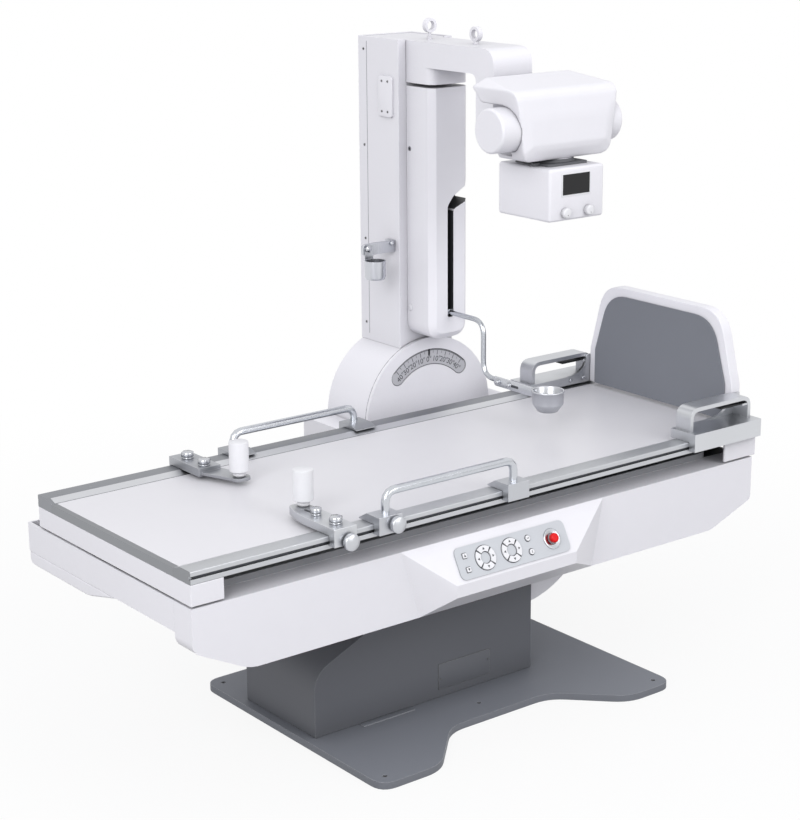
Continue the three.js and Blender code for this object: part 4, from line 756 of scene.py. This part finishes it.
# Tilt scale: a grey plastic plate let into the disc plate, with figures every ten degrees. The dark
# bed round the plate and the dark slot along its outer edge are painted shade; the black pointer
# comes through the slot and turns with the column. A grey band in the gap round the disc is painted
# shade.
SCALE_FLOOR, SCALE_FACE = 563, 1.0
SCALE_INNER, SCALE_OUTER, SCALE_GAP = 159.8, 206.2, 2
POINTER_SLOT_INNER, POINTER_SLOT_OUTER = 203.2, 205.2
GAP_SHADE_INNER, GAP_SHADE_OUTER, GAP_SHADE_BEHIND = 243, 247.3, 10
SCALE_HALF, GAP_SHADE_HALF = math.radians(43), math.radians(112)
TICKS_R, FIGURES_R, POINTER_R = 202, 175, 187
ARC_STEPS, CAP_STEPS = 40, 12
scale_grey = moulded("scale_grey", rgb(190, 190, 196), 0.5)
gap_shade_grey = moulded("gap_shade_grey", rgb(150, 150, 156), 0.5)


def arc(radius, first, last):
    """Points on an arc about the pivot, from one angle to another, clockwise from the top."""
    turns = [first + (last - first) * i / ARC_STEPS for i in range(ARC_STEPS + 1)]
    return [(radius * math.sin(turn), radius * math.cos(turn)) for turn in turns]


def arc_band(inner, outer, half, round_ends):
    """Corner points of a band about the pivot, half to each side of the top."""
    middle, cap_radius = (inner + outer) / 2, (outer - inner) / 2
    cap = []
    for i in range(1, CAP_STEPS if round_ends else 1):
        turn = math.pi * i / CAP_STEPS
        reach, past = middle + cap_radius * math.cos(turn), -cap_radius * math.sin(turn)
        x = past * math.cos(half) - reach * math.sin(half)
        y = reach * math.cos(half) + past * math.sin(half)
        cap.append((x, y))
    other_cap = [(-x, y) for x, y in reversed(cap)]
    return arc(outer, half, -half) + cap + arc(inner, -half, half) + other_cap


def on_disc(height, turn=0.0, reach=0.0):
    """A place over the scale's floor, turned clockwise from the top, reach from the pivot."""
    at = facing((COLUMN_X, SCALE_FLOOR - height, PIVOT_Z), FRONT)
    return at @ Matrix.Rotation(-turn, 4, "Z") @ Matrix.Translation((0, reach, 0))


add_piece(
    "scale_bed",
    slab(arc_band(SCALE_INNER - SCALE_GAP, SCALE_OUTER + SCALE_GAP, SCALE_HALF, True), 0.3),
    ink_and_shade,
    "column_base",
    on_disc(0),
)
add_piece(
    "disc_gap_shade",
    slab(arc_band(GAP_SHADE_INNER, GAP_SHADE_OUTER, GAP_SHADE_HALF, False), 1.4),
    gap_shade_grey,
    "column_base",
    on_disc(-GAP_SHADE_BEHIND),
)
add_piece(
    "scale_plate",
    slab(arc_band(SCALE_INNER, SCALE_OUTER, SCALE_HALF, True), SCALE_FACE, 0.2, 1),
    scale_grey,
    "column_base",
    on_disc(0),
)
add_piece(
    "pointer_slot",
    slab(arc_band(POINTER_SLOT_INNER, POINTER_SLOT_OUTER, SCALE_HALF, False), 0.15),
    ink_and_shade,
    "column_base",
    on_disc(SCALE_FACE),
)
for degrees in range(-40, 41, 5):
    turn = math.radians(degrees)
    mark = f"{'minus' if degrees < 0 else 'plus'}_{abs(degrees)}"
    length, width = (8, 1.2) if degrees % 10 else (14, 2.0)
    tick = slab(rounded(width, length, 0.2, 1), 0.15)
    at = on_disc(SCALE_FACE, turn, TICKS_R - length / 2)
    add_piece(f"scale_tick_{mark}", tick, ink_and_shade, "column_base", at)
    if degrees % 10:
        continue
    figures = bpy.data.curves.new(f"scale_figure_{mark}", "FONT")
    figures.body = f"{abs(degrees)}°"
    figures.size = 24 * MM
    figures.extrude = 0.08 * MM
    figures.align_x = "CENTER"
    figures.align_y = "CENTER"
    figures.materials.append(ink_and_shade)
    numeral = bpy.data.objects.new(figures.name, figures)
    at = on_disc(SCALE_FACE + 0.1, turn, FIGURES_R)
    at.translation *= MM
    numeral.matrix_world = at
    scene.collection.objects.link(numeral)
    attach(numeral, "column_base")
add_piece(
    "scale_pointer",
    slab([(-3.2, 20), (-3.2, 4), (0, -4), (3.2, 4), (3.2, 20)], 0.9, 0.3, 1),
    black_resin_and_shade,
    "column",
    on_disc(SCALE_FACE + 0.5, 0, POINTER_R),
)


# Column mast: an extruded steel tube, powder coated white, with a cover strip along its back edge.
# Four screws hold the strip, and four more the plate over the cable inlet. A thin cover with
# eight screws and five vents closes the mast's back.
soften("column_mast", white_paint, 7.0, 4)
MAST_LEFT, MAST_BACK = 452, 776
SEAM_Y, SEAM_Z, SEAM_WIDTH, SEAM_LENGTH = 733, 1325, 2.2, 920
STRIP_SCREWS_Y, STRIP_SCREWS_Z = 748, (1760, 1465, 1170, 900)
seam_grey = moulded("seam_grey", rgb(140, 140, 147), 0.5)
add_piece(
    "mast_seam",
    slab(rounded(SEAM_WIDTH, SEAM_LENGTH, 0.4, 1), 0.15),
    seam_grey,
    "column",
    facing((MAST_LEFT, SEAM_Y, SEAM_Z), HEAD),
)
strip_screws = [(MAST_LEFT, STRIP_SCREWS_Y, z) for z in STRIP_SCREWS_Z]
add_screws("strip_screw", strip_screws, 3.8, 1.8, "column", HEAD)
INLET_Y, INLET_Z, INLET_WIDTH, INLET_HEIGHT = 634, 1624.5, 70, 125
INLET_SCREWS_Y, INLET_SCREWS_Z = 14.5, 46
add_piece(
    "inlet_cover",
    slab(rounded(INLET_WIDTH, INLET_HEIGHT, 10), 7, 2.2, 3),
    white_paint,
    "column",
    facing((MAST_LEFT, INLET_Y, INLET_Z), HEAD),
)
inlet_screws = [
    (MAST_LEFT - 6.9, INLET_Y + across * INLET_SCREWS_Y, INLET_Z + rise * INLET_SCREWS_Z)
    for across, rise in CORNERS
]
add_screws("inlet_screw", inlet_screws, 3.4, 1.6, "column", HEAD)
COVER_Z, COVER_WIDTH, COVER_HEIGHT = 1340, 160, 840
COVER_SCREW_IN, COVER_SCREW_DOWN = 10, 14
add_piece(
    "mast_back_cover",
    slab(rounded(COVER_WIDTH, COVER_HEIGHT, 8), 1.2, 0.4, 1),
    white_paint,
    "column",
    facing((COLUMN_X, MAST_BACK, COVER_Z), BACK),
)
cover_screws = [
    (
        COLUMN_X + across * (COVER_WIDTH / 2 - COVER_SCREW_IN),
        MAST_BACK + 0.2,
        COVER_Z + rise * (COVER_HEIGHT / 2 - COVER_SCREW_DOWN),
    )
    for rise in (-1, -1 / 3, 1 / 3, 1)
    for across in (-1, 1)
]
add_screws("back_cover_screw", cover_screws, 4.2, 1.7, "column", BACK)
add_vents("mast_vent", 5, 90, (COLUMN_X, MAST_BACK + 1.1, 1640), 15, "column")


# Compressor housing: a long moulded cover on the front of the mast, with a slot that the compressor
# runs in, coloured dark as painted shade. A grey bush near its top lets a locking pin into a bore,
# whose black face is painted shade, and a white plug closes a screw hole low down.
HOUSING_LEFT = 482
DOWN = (0, 0, -1)
SLOT_HOLLOW = [(FOOT, 545), (HEAD, -569), (BACK, 454.5), (UP, 951), (DOWN, -1341)]
NOTCH_HOLLOW = [(FOOT, 568), (BACK, 454.5), ((-27, 0, 65), 68300), ((38, 0, -65), -64900)]
SLOT_SHADE = rgb(48, 49, 52)
slot_painted_shade = [(SLOT_HOLLOW, SLOT_SHADE), (NOTCH_HOLLOW, SLOT_SHADE)]
housing_shell = moulded("housing_shell", WHITE, 0.36, hollows=slot_painted_shade)
soften("compressor_housing", housing_shell, 3.0, 3, 20)
bush_at = facing((HOUSING_LEFT, 559, 1470), HEAD)
add_piece(
    "locking_bush",
    turned([(4.2, 0), (7.4, 0), (7.4, 0.8), (6.4, 1.5), (4.8, 1.5), (4.2, 0.9)], 28),
    seam_grey,
    "column",
    bush_at,
)
# The bore is a black disc: painted shade in the hole.
add_piece(
    "locking_bore",
    turned([(0, 0), (4.6, 0), (4.2, 0.5), (0, 0.4)], 24),
    black_resin_and_shade,
    "column",
    bush_at,
)
add_piece(
    "housing_plug",
    turned([(0, 0), (10.5, 0), (10.5, 0.9), (9.4, 1.9), (0, 2.4)], 36),
    white_shell,
    "column",
    facing((HOUSING_LEFT, 560, 975), HEAD),
)


# Cup holder: a bent aluminium bar screwed to the mast, and a turned cup that swings on its end.
# The screws are turned from bright steel, and the one at the cup's pivot has the wider head.
def turned_knob(radius, length):
    """A turned knob with a waist, a chamfered grip and a flat face."""
    neck, shoulder, rim = 0.62 * radius, 0.93 * radius, 0.9 * radius
    waist = [(neck, 0), (neck, 0.16 * length), (shoulder, 0.18 * length)]
    grip = [(radius, 0.28 * length), (radius, 0.86 * length), (rim, length)]
    return turned([(0, 0), *waist, *grip, (0, length)], 40)


satin_aluminium = machined("satin_aluminium", rgb(206, 208, 214), 0.3, "z")
soften("cup_bar", satin_aluminium, 1.2)
soften("hanging_cup", satin_aluminium, 0.8)
CUP_BAR_SCREWS = [((342, 591.5, 1172), 10), ((436, 595, 1178), 7)]
for i, (at, radius) in enumerate(CUP_BAR_SCREWS):
    add_piece(
        f"cup_bar_screw_{i + 1}",
        turned_knob(radius, 8),
        bright_metal,
        "column",
        facing(at, FRONT),
    )


# Tube arm with two eye bolts, the lift column inside the mast, and the tube housing on its
# trunnion: aluminium castings, filled, primed and painted white, smoother than the sheet parts.
white_casting = powder_coat("white_casting", WHITE, 0.34, 0.0022, 0.00005)
soften("lift_column", white_casting, 2.0)
soften("tube_arm", white_casting, 3.0, 4)
soften("tube_housing", white_casting, 2.4, 4)


# Hood: a moulded cover over the front and the top of the tube, in the same white as the shells.
# A raised panel runs over its front and its top, and it is clipped on from above.
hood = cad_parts["tube_hood"]
hood.data.materials.clear()
hood.data.materials.append(white_shell)
skin = hood.modifiers.new("skin", "REMESH")
skin.mode = "VOXEL"
skin.voxel_size = 3.5 * MM
skin.use_smooth_shade = True
ease = hood.modifiers.new("ease", "SMOOTH")
ease.factor = 0.5
ease.iterations = 4


# Collimator: a painted casting that turns under the hood on a turntable plate with a latch.
# Its front has a small display behind dark glass and two white knobs with a printed dot.
COLLIMATOR_TOP, COLLIMATOR_FRONT = 1486.5, -111
CASING_WIDTH, CASING_DEPTH, CASING_HEIGHT, CASING_ROUND = 208, 222, 150, 9
casting = bmesh.new()
block = Matrix.Diagonal((CASING_WIDTH, CASING_DEPTH, CASING_HEIGHT, 1))
block = Matrix.Translation((0, 0, -CASING_HEIGHT / 2)) @ block
bmesh.ops.create_cube(casting, size=1, matrix=block)
edges = list(casting.edges)
bmesh.ops.bevel(
    casting, geom=edges, offset=CASING_ROUND, segments=4, profile=0.5, affect="EDGES"
)
turned([(0, -1), (62, -1), (62, 16), (61, 17), (0, 17)], 48, shape=casting)
turntable_at = facing((COLUMN_X, 0, COLLIMATOR_TOP), UP, BACK)
casing = add_piece(
    "collimator_casing",
    casting,
    white_casting,
    "collimator",
    turntable_at,
)
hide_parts("collimator")
# The turntable plate, its collar and its latch are dark grey: painted shade under the hood.
turntable_shade_grey = powder_coat("turntable_shade_grey", rgb(92, 93, 98), 0.5, 0.001, 0.00008)
TURNTABLE, TURNTABLE_THICK = 150, 7
add_piece(
    "turntable_plate",
    slab(rounded(TURNTABLE, TURNTABLE, 10), TURNTABLE_THICK, 1.2),
    turntable_shade_grey,
    "collimator",
    turntable_at,
)
add_piece(
    "turntable_collar",
    turned([(62.4, 0), (68, 0), (68, 2.5), (64, 4), (64, 9.6), (62.4, 9.6)], 56),
    turntable_shade_grey,
    "collimator",
    facing((COLUMN_X, 0, COLLIMATOR_TOP + TURNTABLE_THICK), UP, BACK),
)
add_piece(
    "turntable_latch",
    slab(rounded(26, 15, 3), 9, 1.5),
    turntable_shade_grey,
    "collimator",
    facing((COLUMN_X - 84, -28, COLLIMATOR_TOP), UP, BACK),
)
screen_glass = moulded("screen_glass", rgb(30, 30, 32), 0.12, 0.002, 0.000004, 0.3)
SCREEN_X, SCREEN_Z, SCREEN_WIDTH, SCREEN_HEIGHT = 552.5, 1439, 102, 58
BEZEL, BEZEL_THICK = 9, 0.9
add_piece(
    "display_frame",
    slab(rounded(SCREEN_WIDTH + BEZEL, SCREEN_HEIGHT + BEZEL, 3), BEZEL_THICK, 0.5),
    key_white,
    "collimator",
    facing((SCREEN_X, COLLIMATOR_FRONT, SCREEN_Z), FRONT),
)
add_piece(
    "display_glass",
    slab(rounded(SCREEN_WIDTH, SCREEN_HEIGHT, 1.2), 0.5, 0.2, 1),
    screen_glass,
    "collimator",
    facing((SCREEN_X, COLLIMATOR_FRONT - BEZEL_THICK, SCREEN_Z), FRONT),
)
GRIP_SKIRT = [(0, 0), (13.8, 0), (14.8, 1.2), (14.8, 9.5)]
GRIP_CROWN = [(14.2, 13), (12.2, 14.6), (9.6, 15), (0, 15)]
KNOBS_Z, DOT_DOWN = 1360.5, 6
for side, x in (("left", 510), ("right", 598)):
    knob = add_piece(
        f"collimator_knob_{side}_grip",
        turned(GRIP_SKIRT + GRIP_CROWN, 56, 0.975),
        key_white,
        f"knob_{side}",
        facing((x, COLLIMATOR_FRONT - 0.3, KNOBS_Z), FRONT),
    )
    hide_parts(f"collimator_knob_{side}")
    add_piece(
        f"collimator_knob_{side}_dot",
        turned([(0, 0), (1.5, 0), (1.3, 0.2), (0, 0.2)], 16),
        ink_and_shade,
        f"knob_{side}",
        facing((x, COLLIMATOR_FRONT - 15.2, KNOBS_Z - DOT_DOWN), FRONT),
    )


# Compressor: a bent and polished steel bar in the housing's slot, with a lug for the cup's blade.
# The blade is bolted to the lug through its slot, and the cup is spun aluminium with a rolled rim.
def hexagon_bolt(radius, height, washer=1.3):
    """A hexagon head with a chamfered crown on a flat washer."""
    rim, seat = washer * radius, 0.25 * height
    shape = turned([(0, 0), (rim, 0), (rim, 0.18 * height), (0.94 * rim, seat), (0, seat)], 32)
    crown = [(radius, 0.9 * height), (0.84 * radius, height), (0, height)]
    return turned([(0, seat), (radius, seat), *crown], 6, shape=shape)


bar_steel = polished("bar_steel", rgb(196, 199, 205), 0.24)
# The cup's corner shade reaches further, so its bowl is darker inside: painted shade.
cup_aluminium = machined("cup_aluminium", rgb(212, 214, 219), 0.34, "z", reach=0.16)
soften("compressor_arm", bar_steel, 0.8)
CUP_FOOT = 748
CUP_OUTSIDE = [(0, 0), (28, 0), (31, 1.6), (46, 23), (47, 26), (47, 59.5)]
CUP_RIM = [(49, 60.5), (49, 63), (48, 64), (45.5, 64)]
CUP_INSIDE = [(44, 62.5), (44, 26), (29, 4), (0, 3.5)]
cup = add_piece(
    "pressure_cup_bowl",
    turned(CUP_OUTSIDE + CUP_RIM + CUP_INSIDE, 64),
    cup_aluminium,
    "pressure_cup",
    facing((COLUMN_X, 0, CUP_FOOT), UP, BACK),
)
BLADE_X, BLADE_Y, BLADE_Z = 542.5, 133, 796
BLADE_LENGTH, BLADE_WIDTH, BLADE_THICK = 190, 28, 6
add_piece(
    "pressure_cup_blade",
    slab(rounded(BLADE_LENGTH, BLADE_WIDTH, 9), BLADE_THICK, 0.8),
    satin_aluminium,
    "pressure_cup",
    facing((BLADE_X + BLADE_THICK, BLADE_Y, BLADE_Z), HEAD),
)
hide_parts("compressor_cup")
for i, y in enumerate((209, 158)):
    add_piece(
        f"blade_bolt_{i + 1}",
        hexagon_bolt(7.5, 8),
        bright_metal,
        "compressor",
        facing((BLADE_X - 0.2, y, BLADE_Z), HEAD),
    )
# The blade's slot is a dark sheet: painted shade in the opening.
add_piece(
    "blade_slot",
    slab(rounded(52, 8, 3.9), 0.15),
    ink_and_shade,
    "pressure_cup",
    facing((BLADE_X, 142, BLADE_Z), HEAD),
)


# Side handles: bent and chromed steel tube between two satin clamps on each rail.
# A knob in the lip of a front clamp locks it in the groove.
clamp_aluminium = machined("clamp_aluminium", rgb(212, 214, 218), 0.36, "x")
knob_metal = machined("knob_metal", rgb(206, 208, 213), 0.34, "y")
# The rear handle's clamps are coloured darker than the front one's: painted shade.
CLAMP_TONES = {"front": (722.5, rgb(196, 198, 203)), "rear": (712.5, rgb(170, 172, 177))}
CLAMP_KNOB_R, CLAMP_KNOB_LENGTH, CLAMP_LIP_Y = 22.5, 19, -404
for name, (clamp_top, darker_tone) in CLAMP_TONES.items():
    satin = ([(DOWN, -clamp_top)], darker_tone)
    handle_chrome = polished(f"handle_chrome_{name}", rgb(208, 211, 217), 0.2, satin)
    soften(f"side_handle_{name}", handle_chrome, 1.2)
add_piece(
    "handle_clamp_knob",
    turned_knob(CLAMP_KNOB_R, CLAMP_KNOB_LENGTH),
    knob_metal,
    "handle_front",
    facing((-323, CLAMP_LIP_Y, 698), FRONT),
)


# Shoulder rests: a clamp on each rail, and on two hexagon bolts a bar that reaches over the panel.
# A white foam sleeve on a pin with a white foot collar stands on its end.
# The rear rest's clamp is coloured darker than the front one: painted shade.
rear_clamp_shaded = machined("rear_clamp_shaded", rgb(184, 186, 191), 0.4, "x")
soften("shoulder_rest_front", clamp_aluminium, 1.2)
soften("shoulder_rest_rear", rear_clamp_shaded, 1.2)
BOLT_HEIGHT, BOLT_TURN = 19, (0.3, 1, 0)
REST_BOLTS = {
    "rest_front": [((-480, -277, 722), 15), ((-480, -362, 722), 18)],
    "rest_rear": [((-478, 254, 724), 18), ((-478, 340, 724), 18)],
}
for body, bolts in REST_BOLTS.items():
    for i, (at, radius) in enumerate(bolts):
        bolt = hexagon_bolt(radius, BOLT_HEIGHT, 0.9)
        at = facing(at, UP, BOLT_TURN)
        add_piece(f"{body}_bolt_{i + 1}", bolt, bright_metal, body, at)
# The rest's slot is a dark sheet: painted shade in the opening.
add_piece(
    "rest_slot",
    slab(rounded(8, 34, 3.9), 0.15),
    ink_and_shade,
    "rest_front",
    facing((-480, -243, 722), UP, BACK),
)
add_piece(
    "rest_clamp_knob",
    turned_knob(CLAMP_KNOB_R, CLAMP_KNOB_LENGTH),
    knob_metal,
    "rest_front",
    facing((-471, CLAMP_LIP_Y, 684), FRONT),
)


def foam(name, colour):
    """Closed cell foam: rounded pores, a dry face and a faint unevenness of tone."""
    material, start = new_finish(name)
    place = start.add("TexCoord", output="Object")
    pores = cells(place, 620.0)
    cloud = noise(place, 60.0, 4.0)
    sockets = {
        "Base Color": (pores * 0.5 + cloud * 0.5).tint(colour, shade(colour, 0.92)),
        "Roughness": 0.78 + (cloud - 0.5) * 0.2,
        "Normal": bump(pores, 0.6, 0.0004),
    }
    return close_finish(material, start, sockets)


post_foam = foam("post_foam", rgb(226, 226, 230))
POSTS = {"front": (-462, -196, 722.3), "rear": (-437, 142, 712.3)}
SLEEVE_FOOT = [(0, 15), (25, 15), (26.5, 15.8), (27, 18), (27, 50)]
SLEEVE_TOP = [(27, 95), (26.5, 97.2), (25, 98), (0, 98)]
PIN_COLLAR = [(0, 0), (14, 0), (14, 2.4), (17, 2.8), (17.6, 4), (17.6, 15.4), (0, 15.4)]
for name, at in POSTS.items():
    post_at = facing(at, UP, BACK)
    post = add_piece(
        f"shoulder_sleeve_{name}",
        turned(SLEEVE_FOOT + SLEEVE_TOP, 48),
        post_foam,
        f"rest_{name}",
        post_at,
    )
    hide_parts(f"shoulder_post_{name}")
    add_piece(
        f"shoulder_pin_{name}",
        turned(PIN_COLLAR, 40),
        key_white,
        f"rest_{name}",
        post_at,
    )


# Footrest: a white moulded board with a grey rubber face, on two milled brackets with loop handles.
# A black lever under each loop frees the bracket from its rail, and bolts hold the board's gussets.
def rubber(name, colour):
    """Matt rubber sheet with a fine pebble grain and faint rubbed patches."""
    material, start = new_finish(name)
    place = start.add("TexCoord", output="Object")
    pebbles = cells(place, 520.0)
    patches = noise(place, 7.0, 5.0)
    mottle = pebbles * 0.35 + patches * 0.65
    sockets = {
        "Base Color": mottle.tint(shade(colour, 0.92), shade(colour, 1.06)),
        "Roughness": 0.62 + (patches - 0.5) * 0.24,
        "Normal": bump(pebbles, 0.5, 0.0002),
    }
    return close_finish(material, start, sockets)


pad_rubber = rubber("pad_rubber", rgb(121, 124, 132))
soften("footrest_board", white_shell, 3.0, 3)
soften("footrest_pad", pad_rubber, 1.4)
BRACKET_INSIDE, GUSSET_BOLTS_X, GUSSET_BOLTS_Z = 306.3, (985, 930), 716
for name, side in (("front", -1), ("rear", 1)):
    soften(f"footrest_bracket_{name}", clamp_aluminium, 3.6, 4)
    soften(f"footrest_lever_{name}", black_resin_and_shade, 1.6)
    for i, x in enumerate(GUSSET_BOLTS_X):
        add_piece(
            f"bracket_bolt_{name}_{i + 1}",
            turned_knob(6, 5),
            bright_metal,
            "footrest",
            facing((x, side * BRACKET_INSIDE, GUSSET_BOLTS_Z), (0, -side, 0)),
        )
